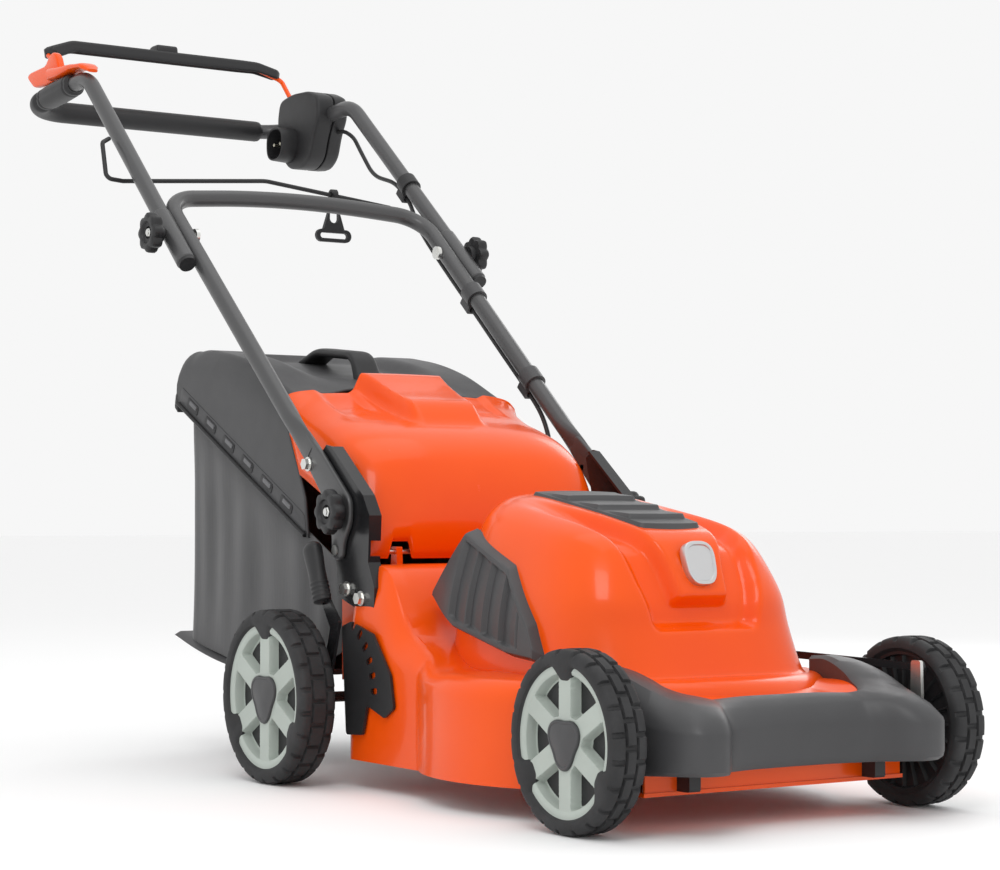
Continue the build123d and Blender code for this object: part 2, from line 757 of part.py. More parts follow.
with BuildPart() as upper_handle:
    add(bent_bar(upper_points, [60, 55, 55, 60], TUBE_RADIUS, TUBE_RADIUS - TUBE_WALL))
    for sign in (1, -1):
        start = Vector(*up_slope(UPPER_PIVOT, -58, sign * UPPER_X))
        with BuildSketch(Plane(origin=start, z_dir=(0, math.cos(SLOPE), math.sin(SLOPE)))):
            Circle(SLEEVE_RADIUS)
            Circle(TUBE_RADIUS - 0.2, mode=Mode.SUBTRACT)
        extrude(amount=148)
    add(side_block([(500, 560), (760, 560), (760, 800), (500, 800)], -FLAT_SIDE, FLAT_SIDE),
        mode=Mode.SUBTRACT)
    add(disc_across(UPPER_PIVOT, BOLT_RADIUS + 0.08, -260, 260), mode=Mode.SUBTRACT)
save(upper_handle, "upper_handle")

with BuildPart() as crossbar_cover:
    with BuildSketch(cross_plane(-150)):
        with Locations(side(*CROSSBAR)):
            Circle(15)
            Circle(TUBE_RADIUS, mode=Mode.SUBTRACT)
    extrude(amount=300)
save(crossbar_cover, "crossbar_cover")

grip_rise = math.atan2(CROSSBAR[1] - 915, CROSSBAR[0] - 903)
grip_axis = (0, math.cos(grip_rise), math.sin(grip_rise))
grip_start = spot(-TOP_X, 948, 915 + 45 * math.tan(grip_rise))

with BuildPart() as grip_sleeve:
    with BuildSketch(Plane(origin=grip_start, x_dir=(1, 0, 0), z_dir=grip_axis)):
        RectangleRounded(33, 31, 12)
        Circle(TUBE_RADIUS, mode=Mode.SUBTRACT)
    extrude(amount=96)
save(grip_sleeve, "grip_sleeve")

BAIL_ROD = 3.5
with BuildPart() as bail_bracket:
    saddle = [
        (888, 921),
        (950, 929.5),
        (1036, 922),
        (1052, 922),
        (1050, 938),
        (1010, 946),
        (996, 938),
        (960, 938),
        (905, 933),
        (884, 924),
    ]
    add(side_block(saddle, -TOP_X - 12, -TOP_X + 12))
    ear_x = -203.0
    add(disc_across(BAIL_PIVOT, 9, ear_x - 3, ear_x + 3))
    add(side_block([(1001, 926), (1019, 926), (1019, 942), (1001, 942)], ear_x - 3, ear_x + 3))
    add(disc_across(BAIL_PIVOT, BAIL_ROD + RUNNING_GAP, -260, -150), mode=Mode.SUBTRACT)
    add(side_block([(990, 930), (1100, 905), (1100, 990), (1004, 990)], ear_x + 3.2, ear_x + 20),
        mode=Mode.SUBTRACT)
    add(grip_sleeve.part, mode=Mode.SUBTRACT)
    add(upper_handle.part, mode=Mode.SUBTRACT)
save(bail_bracket, "bail_bracket")

with BuildPart() as upper_tube_fittings:
    add(cable_clip(on_slope(168), upper_x(168), 20))
    for sign in (1, -1):
        start = Vector(*up_slope(UPPER_PIVOT, -66.6, sign * UPPER_X))
        with BuildSketch(Plane(origin=start, z_dir=(0, math.cos(SLOPE), math.sin(SLOPE)))):
            Circle(SLEEVE_RADIUS - 1.5)
        extrude(amount=6)
save(upper_tube_fittings, "upper_tube_fittings")

WIRE_RADIUS = 3.0
wire_points = [
    spot(-233, 782, 812),
    spot(-248, 770, 804),
    spot(-250, 752, 754),
    spot(-226, 752, 752),
    spot(0, 775, 772),
    spot(205, 782, 750),
]
with BuildPart() as wire_guide:
    add(bent_bar(wire_points, [8, 9, 9, 60], WIRE_RADIUS))
    add(upper_handle.part, mode=Mode.SUBTRACT)
save(wire_guide, "wire_guide")

BOX_SIDE = [
    (956, 905),
    (958, 936),
    (990, 948),
    (1040, 950),
    (1078, 944),
    (1086, 915),
    (1078, 862),
    (1050, 836),
    (1008, 832),
    (984, 846),
    (972, 880),
]
BOX_LOW = 184.0
BOX_HIGH = 238.0
BOX_SEAM = 214.0

rod_slot = side_block(
    [(1003, 935), (1024, 922), (1100, 880), (1100, 985), (1040, 985), (1003, 950)], 187.5, 198.5
) + side_block([(1074, 888), (1100, 888), (1100, 914), (1074, 914)], 187.5, 210)
exit_hole = bent_bar([spot(226, 1000, 886), spot(226, 990, 886), spot(226, 940, 886.5)], [5], 5)


def box_half(low, high):
    """One shell of the switch box between two X positions."""
    with BuildPart() as half:
        add(side_block(BOX_SIDE, low, high, corner=4))
        inner_low = low + (MOULDED_WALL if low == BOX_LOW else -1)
        inner_high = high - (MOULDED_WALL if high == BOX_HIGH else -1)
        with BuildSketch(cross_plane(inner_low)):
            with BuildLine():
                Polyline(*[side(y, z) for y, z in BOX_SIDE], close=True)
            make_face()
            offset(amount=-MOULDED_WALL)
        extrude(amount=inner_high - inner_low, mode=Mode.SUBTRACT)
        add(rod_slot, mode=Mode.SUBTRACT)
        add(exit_hole, mode=Mode.SUBTRACT)
        add(disc_across((1046, 872), 21, low - 1, BOX_LOW + 10), mode=Mode.SUBTRACT)
        add(upper_handle.part, mode=Mode.SUBTRACT)
        with BuildSketch(Plane(origin=spot(TOP_X, 930, 915), x_dir=(1, 0, 0), z_dir=grip_axis)):
            Circle(TUBE_RADIUS + 0.1)
        extrude(amount=200, mode=Mode.SUBTRACT)
    return half


switch_box_rear = box_half(BOX_LOW, BOX_SEAM)
save(switch_box_rear, "switch_box_inner")
with BuildPart() as switch_box_front:
    add(box_half(BOX_SEAM, BOX_HIGH).part)
    add(disc_across(BAIL_PIVOT, 7, 228, BOX_HIGH - 1))
    add(disc_across(BAIL_PIVOT, BAIL_ROD + RUNNING_GAP, 222, BOX_HIGH - 1), mode=Mode.SUBTRACT)
save(switch_box_front, "switch_box_outer")

INLET = (1046.0, 872.0)
with BuildPart() as power_inlet:
    add(disc_across(INLET, 25, 158, BOX_LOW))
    add(disc_across(INLET, 21, BOX_LOW, BOX_LOW + 3))
    add(disc_across(INLET, 22, 157, BOX_LOW - 2), mode=Mode.SUBTRACT)
    with BuildSketch(cross_plane(150)):
        with Locations(side(*INLET)):
            with GridLocations(19, 1, 2, 1):
                Circle(2.4)
    extrude(amount=60, mode=Mode.SUBTRACT)
save(power_inlet, "power_inlet")

with BuildPart() as inlet_pins:
    with BuildSketch(cross_plane(163)):
        with Locations(side(*INLET)):
            with GridLocations(19, 1, 2, 1):
                Circle(2.4)
    extrude(amount=24)
save(inlet_pins, "inlet_pins")


# ------------------------------------------------------------------ bail

with BuildPart() as bail_rod:
    BAIL_END_X = 193.0
    rod_points = [
        spot(234, *BAIL_PIVOT),
        spot(BAIL_END_X, *BAIL_PIVOT),
        spot(BAIL_END_X, 1058, 946),
        spot(BAIL_END_X, 1088, 978),
        spot(150, 1091, 993),
        spot(-150, 1091, 993),
        spot(-BAIL_END_X, 1088, 978),
        spot(-BAIL_END_X, 1030, 950),
        spot(-BAIL_END_X, *BAIL_PIVOT),
        spot(-208, *BAIL_PIVOT),
    ]
    add(bent_bar(rod_points, [6, 12, 10, 30, 30, 10, 12, 6], BAIL_ROD))
save(bail_rod, "bail_rod")

with BuildPart() as bail_grip:
    with BuildLine() as bail_path:
        FilletPolyline(spot(BAIL_END_X + 2, 1090, 979), spot(150, 1091, 994), spot(-150, 1091, 994),
                       spot(-BAIL_END_X - 2, 1090, 979), radius=30)
    with BuildSketch(Plane(origin=bail_path.line @ 0, x_dir=(0, 1, 0), z_dir=bail_path.line % 0)):
        RectangleRounded(22, 18, 6)
    sweep()
    with BuildSketch(Plane.XY.offset(990)):
        with Locations(spot(0, 1104, 0)[:2]):
            RectangleRounded(60, 22, 6)
    extrude(amount=12)
    add(bent_bar(rod_points, [6, 12, 10, 30, 30, 10, 12, 6], BAIL_ROD), mode=Mode.SUBTRACT)
save(bail_grip, "bail_grip")


# ------------------------------------------------------------------ star knobs

KNOB_RADIUS = 26.0


def star_knob(point, x_low, sign):
    """A star knob with eight lobes, its hub against the tube and its nut recess outwards."""
    with BuildPart() as knob:
        add(disc_across(point, 14, x_low, x_low + 6))
        with BuildSketch(cross_plane(x_low + 6)):
            with Locations(side(*point)):
                Circle(KNOB_RADIUS - 5)
                with PolarLocations(KNOB_RADIUS - 6, 8):
                    Circle(6)
        extrude(amount=16)
        add(disc_across(point, BOLT_RADIUS + 0.08, x_low - 1, x_low + 30), mode=Mode.SUBTRACT)
        add(disc_across(point, 9, x_low + 16, x_low + 30), mode=Mode.SUBTRACT)
        if sign < 0:
            mirror(about=Plane.YZ, mode=Mode.REPLACE)
    return knob


for word, sign in (("right", -1), ("left", 1)):
    save(star_knob(LOWER_PIVOT, FLAT_HIGH + 0.4, sign), f"lower_knob_{word}")
    save(star_knob(UPPER_PIVOT, UPPER_X + SLEEVE_RADIUS + 0.4, sign), f"upper_knob_{word}")


# ------------------------------------------------------------------ rear flap

FLAP_HALF = 171.0
FLAP_SIDE = [
    (206, 262),
    (200, 298),
    (226, 372),
    (262, 402),
    (367, 432),
    (409, 446),
    (391, 398),
    (382, 366),
    (300, 330),
    (262, 300),
    (236, 262),
]
FLAP_INSIDE = [
    (209, 256),
    (204, 298),
    (229, 370),
    (264, 398),
    (368, 428),
    (420, 446),
    (400, 398),
    (392, 350),
    (300, 310),
    (262, 280),
    (244, 256),
]

with BuildPart() as rear_flap:
    add(side_block(FLAP_SIDE, -FLAP_HALF, FLAP_HALF))
    add(side_block(FLAP_INSIDE, -FLAP_HALF + MOULDED_WALL, FLAP_HALF - MOULDED_WALL), mode=Mode.SUBTRACT)
    for lug_x in (-146, 138):
        lug = [
            (FLAP_PIVOT[0] - 5, FLAP_PIVOT[1] - 6),
            (FLAP_PIVOT[0] + 6, FLAP_PIVOT[1] - 6),
            (FLAP_PIVOT[0] + 12, FLAP_PIVOT[1] + 24),
            (FLAP_PIVOT[0] - 12, FLAP_PIVOT[1] + 24),
        ]
        add(side_block(lug, lug_x, lug_x + 8))
    for ear_x in (-130, 118):
        add(side_block([(190, 250), (235, 250), (235, 278), (190, 278)], ear_x, ear_x + 12),
            mode=Mode.SUBTRACT)
    add(disc_across(FLAP_PIVOT, 3 + RUNNING_GAP, -200, 200), mode=Mode.SUBTRACT)
save(rear_flap, "rear_flap")

with BuildPart() as flap_hinge_pin:
    add(disc_across(FLAP_PIVOT, 3, -165, 165))
save(flap_hinge_pin, "flap_hinge_pin")

with BuildPart() as flap_spring:
    add(disc_across(FLAP_PIVOT, 5.0, 90, 112))
    add(disc_across(FLAP_PIVOT, 3.6, 80, 120), mode=Mode.SUBTRACT)
    add(side_block([(216, 270), (230, 298), (228, 299), (213, 270.5)], 108, 110))
save(flap_spring, "flap_spring")


# ------------------------------------------------------------------ grass bag

BAG_HALF = 172.0
LID_SIDE = [
    (413, 447),
    (600, 510),
    (686, 522),
    (702, 484),
    (688, 452),
    (350, 284),
    (318, 290),
    (316, 332),
    (388, 363),
    (397, 398),
]
LID_INSIDE = [
    (408, 440),
    (602, 506),
    (683, 518),
    (697, 484),
    (688, 440),
    (350, 270),
    (300, 280),
    (300, 322),
    (380, 357),
    (390, 396),
]
with BuildPart() as bag_lid:
    add(side_block(LID_SIDE, -BAG_HALF, BAG_HALF))
    add(side_block(LID_INSIDE, -BAG_HALF + MOULDED_WALL, BAG_HALF - MOULDED_WALL), mode=Mode.SUBTRACT)
    add(side_block([(506, 462), (642, 499), (642, 515), (600, 509.5), (506, 478)], -33, 33))
    add(side_block([(509, 466.5), (639, 502.5), (639, 560), (509, 560)], -30, 30), mode=Mode.SUBTRACT)
save(bag_lid, "bag_lid")

BAG_SIDE = [
    (686, 446),
    (680, 152),
    (560, 126),
    (420, 118),
    (300, 136),
    (262, 150),
    (262, 244),
    (300, 262),
    (350, 280),
]
with BuildPart() as bag_fabric:
    add(side_block(BAG_SIDE, -BAG_HALF + 5, BAG_HALF - 5))
    add(side_block([(681, 460), (675, 156), (560, 131), (420, 123), (300, 141), (250, 156), (250, 238),
                    (302, 256), (346, 296)], -BAG_HALF + 10, BAG_HALF - 10), mode=Mode.SUBTRACT)
save(bag_fabric, "bag_fabric")

with BuildPart() as bag_base:
    add(side_block([(696, 146), (560, 119), (420, 111), (420, 117), (560, 125), (692, 152)],
                   -BAG_HALF - 2, BAG_HALF + 2))
save(bag_base, "bag_base")

with BuildPart() as bag_carry_handle:
    handle_points = [
        spot(0, 480, 468),
        spot(0, 512, 512),
        spot(0, 610, 530),
        spot(0, 660, 516),
    ]
    with BuildLine() as handle_path:
        FilletPolyline(*handle_points, radius=[22, 40])
    with BuildSketch(Plane(origin=handle_path.line @ 0, x_dir=(1, 0, 0), z_dir=handle_path.line % 0)):
        RectangleRounded(34, 14, 5)
    sweep()
    add(bag_lid.part, mode=Mode.SUBTRACT)
    add(side_block([(408, 440), (602, 506), (683, 518), (683, 400), (408, 400)], -60, 60),
        mode=Mode.SUBTRACT)
save(bag_carry_handle, "bag_carry_handle")


# ------------------------------------------------------------------ cord hook on the guide wire

HOOK_X = 110.0
with BuildPart() as cord_hook:
    hook_plane = Plane(origin=spot(HOOK_X, 778.8, 761), x_dir=(1, 0, 0), z_dir=(0, -1, 0))
    wire_at_hook = Plane(origin=spot(HOOK_X, 778.8, 761), x_dir=(0, 1, 0), z_dir=(1, 0, 0)).offset(-4)
    with BuildSketch(wire_at_hook):
        Circle(8)
        Circle(4.5, mode=Mode.SUBTRACT)
    extrude(amount=8)
    with BuildSketch(hook_plane.offset(-3)):
        with Locations((0, -28)):
            Trapezoid(34, 44, 72)
            RectangleRounded(14, 24, 6.5, mode=Mode.SUBTRACT)
        with Locations((0, -58)):
            SlotOverall(56, 18)
            SlotOverall(44, 8, mode=Mode.SUBTRACT)
    extrude(amount=6)
save(cord_hook, "cord_hook")


# ------------------------------------------------------------------ cable from the switch box to the motor

CABLE_RADIUS = 3.0
CABLE_DROP = TUBE_RADIUS + 6.0
down = (math.sin(SLOPE) * CABLE_DROP, -math.cos(SLOPE) * CABLE_DROP)


def beside_tube(distance, x):
    """A point of the cable under the tube, the given distance up the slope from the upper bolt."""
    y, z = on_slope(distance)
    return spot(x, y + down[0], z + down[1])


def cable_radii(points):
    """Arc radii for a limp cable: 0.45 of the shorter run over the tangent of half the turn."""
    radii = []
    for before, here, after in zip(points, points[1:], points[2:]):
        first = Vector(*here) - Vector(*before)
        second = Vector(*after) - Vector(*here)
        turn = math.radians(first.get_angle(second))
        radii.append(0.45 * min(first.length, second.length) / math.tan(turn / 2))
    return radii


def cable(points, label):
    """A run of cable; its length and its tightest arc are printed."""
    radii = cable_radii(points)
    with BuildPart() as run:
        with BuildLine() as path:
            FilletPolyline(*points, radius=radii)
        with BuildSketch(Plane(origin=path.line @ 0, z_dir=path.line % 0)):
            Circle(CABLE_RADIUS)
        sweep()
    length = sum(edge.length for edge in path.edges())
    ideal = math.pi * CABLE_RADIUS**2 * length
    print(label, round(length), "mm, radii", [round(r) for r in radii],
          "volume ratio", round(run.part.volume / ideal, 4))
    save(run, label)
    return run


upper_cable_points = [
    spot(226, 975, 886),
    spot(226, 950, 885),
    spot(226, 922, 872),
    spot(222, 890, 842),
    spot(218, 850, 805),
    beside_tube(198, upper_x(198)),
    beside_tube(150, upper_x(150)),
    beside_tube(118, 208),
    beside_tube(86.5, 201),
]
cable(upper_cable_points, "cable_upper")
middle_cable_points = [
    beside_tube(85.5, 201),
    beside_tube(40, 198),
    beside_tube(-30, 197),
    beside_tube(-96, 197.5),
    beside_tube(-190, 197),
    beside_tube(-280, 197.5),
    beside_tube(-340, 194),
    spot(184, 330, 350),
    spot(182, 302, 330),
]
cable(middle_cable_points, "cable_middle")
lower_cable_points = [
    spot(182, 299, 327),
    spot(181, 268, 305),
    spot(182, 235, 290),
    spot(183, 200, 280),
    spot(176, 165, 272),
    spot(160, 140, 262),
]
cable(lower_cable_points, "cable_lower")
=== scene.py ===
import bmesh
import bpy
import numpy as np
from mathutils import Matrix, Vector


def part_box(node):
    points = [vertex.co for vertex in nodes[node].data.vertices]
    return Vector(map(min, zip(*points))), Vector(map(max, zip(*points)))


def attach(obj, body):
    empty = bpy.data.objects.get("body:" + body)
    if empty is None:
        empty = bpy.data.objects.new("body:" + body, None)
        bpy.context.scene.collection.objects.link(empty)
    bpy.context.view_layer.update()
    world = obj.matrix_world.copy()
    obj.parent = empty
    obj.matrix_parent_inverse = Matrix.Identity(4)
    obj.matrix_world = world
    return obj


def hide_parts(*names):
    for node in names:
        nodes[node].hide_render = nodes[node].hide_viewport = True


# A corded electric lawn mower.  Shapes are worked out in millimetres from the middle of the
# wheelbase (x across, y towards the operator, z up) and go into the mesh in metres.

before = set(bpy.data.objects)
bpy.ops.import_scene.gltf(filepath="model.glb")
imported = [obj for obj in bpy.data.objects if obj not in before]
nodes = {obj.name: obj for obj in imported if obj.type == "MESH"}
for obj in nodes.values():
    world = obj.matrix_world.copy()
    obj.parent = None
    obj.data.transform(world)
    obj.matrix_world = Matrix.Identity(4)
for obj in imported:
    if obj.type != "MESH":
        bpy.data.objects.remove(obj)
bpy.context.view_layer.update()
sideSign = {"right": -1, "left": 1}


def boxMiddle(node):
    # half way between a node's lowest and highest corners
    low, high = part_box(node)
    return (low + high) / 2


midY = 500 * (boxMiddle("front_right_tyre").y + boxMiddle("rear_right_tyre").y)
slope = np.radians(41)
slopeDir = np.array([0, np.cos(slope), np.sin(slope)])
slopeUp = np.array([0, -np.sin(slope), np.cos(slope)])


# numbers and curves

def unit(v):
    # each vector divided by its length
    v = np.asarray(v, float)
    return v / np.maximum(np.linalg.norm(v, axis=-1, keepdims=True), 1e-12)


def ease(x, low=0.0, high=1.0):
    # 0 below low, 1 above high, and 3t^2 - 2t^3 between them
    t = np.clip((np.asarray(x, float) - low) / (high - low), 0, 1)
    return t * t * (3 - 2 * t)


def smoothThrough(keys, values, at):
    # a curve through the values with slopes from the neighbours' chord (Catmull-Rom on uneven keys)
    keys, values = np.asarray(keys, float), np.asarray(values, float)
    slopes = np.gradient(values, keys, axis=0)
    at = np.clip(at, keys[0], keys[-1])
    i = np.clip(np.searchsorted(keys, at, side="right") - 1, 0, len(keys) - 2)
    h = keys[i + 1] - keys[i]
    t = (at - keys[i]) / h
    if values.ndim > 1:
        h, t = h[..., None], t[..., None]
    return ((1 + 2 * t) * (1 - t) ** 2 * values[i] + t * (1 - t) ** 2 * h * slopes[i]
            + t * t * (3 - 2 * t) * values[i + 1] + t * t * (t - 1) * h * slopes[i + 1])


def bentPath(points, radii, arcSteps=14):
    # straight runs joined by arcs; an arc's centre is on the corner's bisector, radius / cos(half turn) away
    points = [np.array(p, float) for p in points]
    parts = [points[0][None]]
    for before, here, after, radius in zip(points, points[1:], points[2:], radii):
        back, ahead = unit(before - here), unit(after - here)
        turn = np.pi - np.arccos(np.clip(back @ ahead, -1, 1))
        bisector, across = unit(back + ahead), unit(ahead - back)
        centre = here + bisector * radius / np.cos(turn / 2)
        t = np.linspace(-turn / 2, turn / 2, arcSteps)[:, None]
        parts.append(centre + radius * (np.sin(t) * across - np.cos(t) * bisector))
    parts.append(points[-1][None])
    return np.vstack(parts)


def evenly(path, count, closed=False):
    # the path again with equal steps along its length
    path = np.vstack([path, path[:1]]) if closed else path
    steps = np.r_[0, np.cumsum(np.linalg.norm(np.diff(path, axis=0), axis=1))]
    at = np.linspace(0, steps[-1], count + 1)[:-1] if closed else np.linspace(0, steps[-1], count)
    return np.stack([np.interp(at, steps, path[:, k]) for k in range(path.shape[1])], axis=1)


def roundOutline(points, radius, count=96):
    # a closed outline whose corners become quadratic curves that start and end radius away along the sides
    points = np.array(points, float)
    before, after = np.roll(points, 1, 0), np.roll(points, -1, 0)
    reachBack = np.minimum(radius, 0.45 * np.linalg.norm(before - points, axis=1))[:, None]
    reachOn = np.minimum(radius, 0.45 * np.linalg.norm(after - points, axis=1))[:, None]
    start = points + unit(before - points) * reachBack
    end = points + unit(after - points) * reachOn
    t = np.linspace(0, 1, 7)[None, :, None]
    corner = (1 - t) ** 2 * start[:, None] + 2 * t * (1 - t) * points[:, None] + t * t * end[:, None]
    return evenly(corner.reshape(-1, points.shape[1]), count, closed=True)


def inward(outline, amount):
    # the outline drawn in along its normals, the tangent turned by a quarter
    tangent = unit(np.roll(outline, -1, 0) - np.roll(outline, 1, 0))
    normal = np.stack([-tangent[:, 1], tangent[:, 0]], axis=1)
    nextPoint = np.roll(outline, -1, 0)
    turning = np.sum(outline[:, 0] * nextPoint[:, 1] - nextPoint[:, 0] * outline[:, 1])
    return outline + np.sign(turning) * normal * amount


def ring(radius, count=24, squeeze=1.0):
    # a circle of points, or an ellipse where the second radius differs
    t = np.linspace(0, 2 * np.pi, count, endpoint=False)
    return np.stack([radius * np.cos(t), radius * squeeze * np.sin(t)], axis=1)


# meshes

def surface(grid, around=True, ends="open"):
    # rows go along and columns go around; quads join neighbours; "flat" ends are one face each
    rows, columns = grid.shape[:2]
    ids = np.arange(rows * columns).reshape(rows, columns)
    ids = np.hstack([ids, ids[:, :1]]) if around else ids
    quads = np.stack([ids[:-1, :-1], ids[:-1, 1:], ids[1:, 1:], ids[1:, :-1]], axis=-1)
    faces = quads.reshape(-1, 4).tolist()
    if ends == "flat":
        faces += [list(range(columns))[::-1], list(range((rows - 1) * columns, rows * columns))]
    return grid.reshape(-1, 3), faces


def carry(path, section, up, ends="flat"):
    # a section carried along a path: its first axis is path direction x up, its second stays near up
    path = np.asarray(path, float)
    tangent = unit(np.gradient(path, axis=0))
    side = unit(np.cross(tangent, np.broadcast_to(np.asarray(up, float), path.shape)))
    over = np.cross(side, tangent)
    section = np.broadcast_to(section, (len(path),) + np.shape(section)[-2:])
    grid = path[:, None] + section[..., :1] * side[:, None] + section[..., 1:] * over[:, None]
    return surface(grid, ends=ends)


def acrossX(places, outlines):
    # (y, z) outlines at places along X, joined and closed at both ends
    rows = [np.column_stack([np.full(len(outline), x), outline]) for x, outline in zip(places, outlines)]
    return surface(np.stack(rows), ends="flat")


def turned(rings, centre, count, sign=1):
    # rings of (radius, x) round an axis along X; a radius may vary round the turn
    turn = np.linspace(0, 2 * np.pi, count, endpoint=False)
    y, z = centre
    outlines = [np.column_stack([y + r * np.cos(turn), z + r * np.sin(turn)]) for r, _ in rings]
    return acrossX([sign * x for _, x in rings], outlines)


def squaredRing(count, power):
    # a circle whose coordinates are raised to a power below 1, which fills out its corners
    section = ring(1.0, count)
    return np.sign(section) * np.abs(section) ** power


def puffed(outline, low, high, edge, steps=4):
    # a plate across X with a (y, z) outline, whose edges are quarter rounds of radius edge
    t = np.linspace(0, np.pi / 2, steps)
    inset = np.r_[edge * (1 - np.sin(t)), edge * (1 - np.sin(t[::-1]))]
    x = np.r_[low + edge * (1 - np.cos(t)), high - edge * (1 - np.cos(t[::-1]))]
    return acrossX(x, [inward(outline, amount) for amount in inset])


def mirrored(part):
    # x changes sign, for the other side of the mower
    points, faces = part
    return points * [-1, 1, 1], faces


def together(parts):
    # several surfaces as one, each with its numbering moved past the last
    points, faces, start = [], [], 0
    for partPoints, partFaces in parts:
        points.append(partPoints)
        faces += [[i + start for i in face] for face in partFaces]
        start += len(partPoints)
    return np.vstack(points), faces


def piece(name, parts, body, finish, replaces=(), sharp=38, wall=0.0, uv=None):
    # puts the surfaces in one closed mesh in metres, with its normals outwards, riding on its body
    points, faces = together(parts)
    mesh = bpy.data.meshes.new(name)
    mesh.from_pydata(((points + [0, midY, 0]) / 1000).tolist(), [], faces)
    if uv is not None:
        layer = mesh.uv_layers.new(name="cloth")
        loops = np.zeros(len(mesh.loops), np.int32)
        mesh.loops.foreach_get("vertex_index", loops)
        layer.data.foreach_set("uv", uv[loops].ravel())
    work = bmesh.new()
    work.from_mesh(mesh)
    bmesh.ops.remove_doubles(work, verts=work.verts, dist=2e-5)
    bmesh.ops.dissolve_degenerate(work, edges=work.edges, dist=1e-6)
    bmesh.ops.recalc_face_normals(work, faces=work.faces)
    work.to_mesh(mesh)
    work.free()
    mesh.shade_smooth()
    mesh.set_sharp_from_angle(angle=np.radians(sharp))
    thing = bpy.data.objects.new(name, mesh)
    bpy.context.scene.collection.objects.link(thing)
    if wall:
        solid = thing.modifiers.new("wall", "SOLIDIFY")
        solid.thickness, solid.offset = wall / 1000, -1
    mesh.materials.append(finishes[finish][0])
    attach(thing, body)
    if replaces:
        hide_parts(*replaces)
    return thing


# finishes

class Wire:
    # one socket's value; arithmetic on it adds Math nodes
    def __init__(self, shade, socket):
        self.shade, self.socket = shade, socket

    def math(self, operation, first, second=0.0):
        return self.shade.node("ShaderNodeMath", {"operation": operation}, first, second)

    def __add__(self, other):
        return self.math("ADD", self, other)

    __radd__ = __add__

    def __mul__(self, other):
        return self.math("MULTIPLY", self, other)

    __rmul__ = __mul__

    def __sub__(self, other):
        return self.math("SUBTRACT", self, other)

    def __rsub__(self, other):
        return self.math("SUBTRACT", other, self)

    def sine(self):
        return self.math("SINE", self)

    def clamp(self, low, high):
        return self.math("MINIMUM", self.math("MAXIMUM", self, low), high)


class Shade:
    # one procedural material round a Principled shader
    def __init__(self, name, **fixed):
        self.material = bpy.data.materials.new(name)
        self.material.use_nodes = True
        self.tree = self.material.node_tree
        self.shader = self.tree.nodes["Principled BSDF"]
        for socket, value in fixed.items():
            self.shader.inputs[socket.replace("_", " ")].default_value = value
        self.place = self.node("ShaderNodeTexCoord", {}, out="Object")

    def node(self, kind, settings, *values, out=0, **named):
        # a node with its settings made first, then its sockets filled in order or by name
        made = self.tree.nodes.new(kind)
        for key, value in settings.items():
            setattr(made, key, value)
        for key, value in [*enumerate(values), *named.items()]:
            socket = made.inputs[key]
            if isinstance(value, Wire):
                self.tree.links.new(value.socket, socket)
            else:
                socket.default_value = value
        return Wire(self, made.outputs[out])

    def noise(self, scale, detail=3.0, rough=0.55, at=None):
        return self.node("ShaderNodeTexNoise", {}, out="Fac", Vector=at or self.place, Scale=scale,
                         Detail=detail, Roughness=rough)

    def stretched(self, factors, at=None):
        return self.node("ShaderNodeVectorMath", {"operation": "MULTIPLY"}, at or self.place, factors)

    def mix(self, factor, first, second):
        made = self.node("ShaderNodeMix", {"data_type": "RGBA"}, factor, out=2)
        inputs = made.socket.node.inputs
        for socket, value in ((inputs[6], first), (inputs[7], second)):
            if isinstance(value, Wire):
                self.tree.links.new(value.socket, socket)
            else:
                socket.default_value = (*value, 1)
        return made

    def feed(self, **wires):
        for socket, wire in wires.items():
            self.tree.links.new(wire.socket, self.shader.inputs[socket.replace("_", " ")])

    def relief(self, height, strength, distance):
        # bump from a height, distance in metres
        bump = self.node("ShaderNodeBump", {}, out="Normal", Strength=strength, Distance=distance,
                         Height=height)
        self.feed(Normal=bump)


def glossOrange(name, peel, rough):
    # gloss paint: two near oranges in soft clouds, with a slight orange peel
    shade = Shade(name, Coat_Weight=0.25, Coat_Roughness=0.06, Specular_IOR_Level=0.22)
    cloud = shade.noise(9)
    shade.feed(Base_Color=shade.mix(cloud, (0.84, 0.074, 0.0), (0.92, 0.100, 0.001)))
    shade.feed(Roughness=rough + 0.10 * shade.noise(60, 4))
    shade.relief(shade.noise(peel, 2), 0.06, 0.0004)
    return shade.material


def satinPlastic(name, colour, rough, grain=1500.0, depth=0.25):
    # moulded plastic: a fine spark-eroded grain, cloudy gloss and a paler bloom
    shade = Shade(name, IOR=1.46)
    bloom = shade.noise(14, 5)
    paler = tuple(1.35 * c + 0.004 for c in colour)
    shade.feed(Base_Color=shade.mix(bloom, colour, paler))
    shade.feed(Roughness=rough + 0.14 * shade.noise(45, 5))
    shade.relief(shade.noise(grain, 2, 0.6), depth, 0.0003)
    return shade.material


def tubePaint(name):
    # metallic paint: flakes vary the colour a little, and handling marks vary the gloss
    shade = Shade(name, Metallic=0.35, Coat_Weight=0.25, Coat_Roughness=0.15)
    flakes = shade.noise(2600, 1, 0.4)
    marks = shade.noise(35, 6)
    shade.feed(Base_Color=shade.mix(flakes, (0.048, 0.048, 0.049), (0.092, 0.092, 0.094)))
    shade.feed(Roughness=0.34 + 0.14 * marks)
    shade.relief(shade.noise(420, 2), 0.08, 0.0003)
    return shade.material


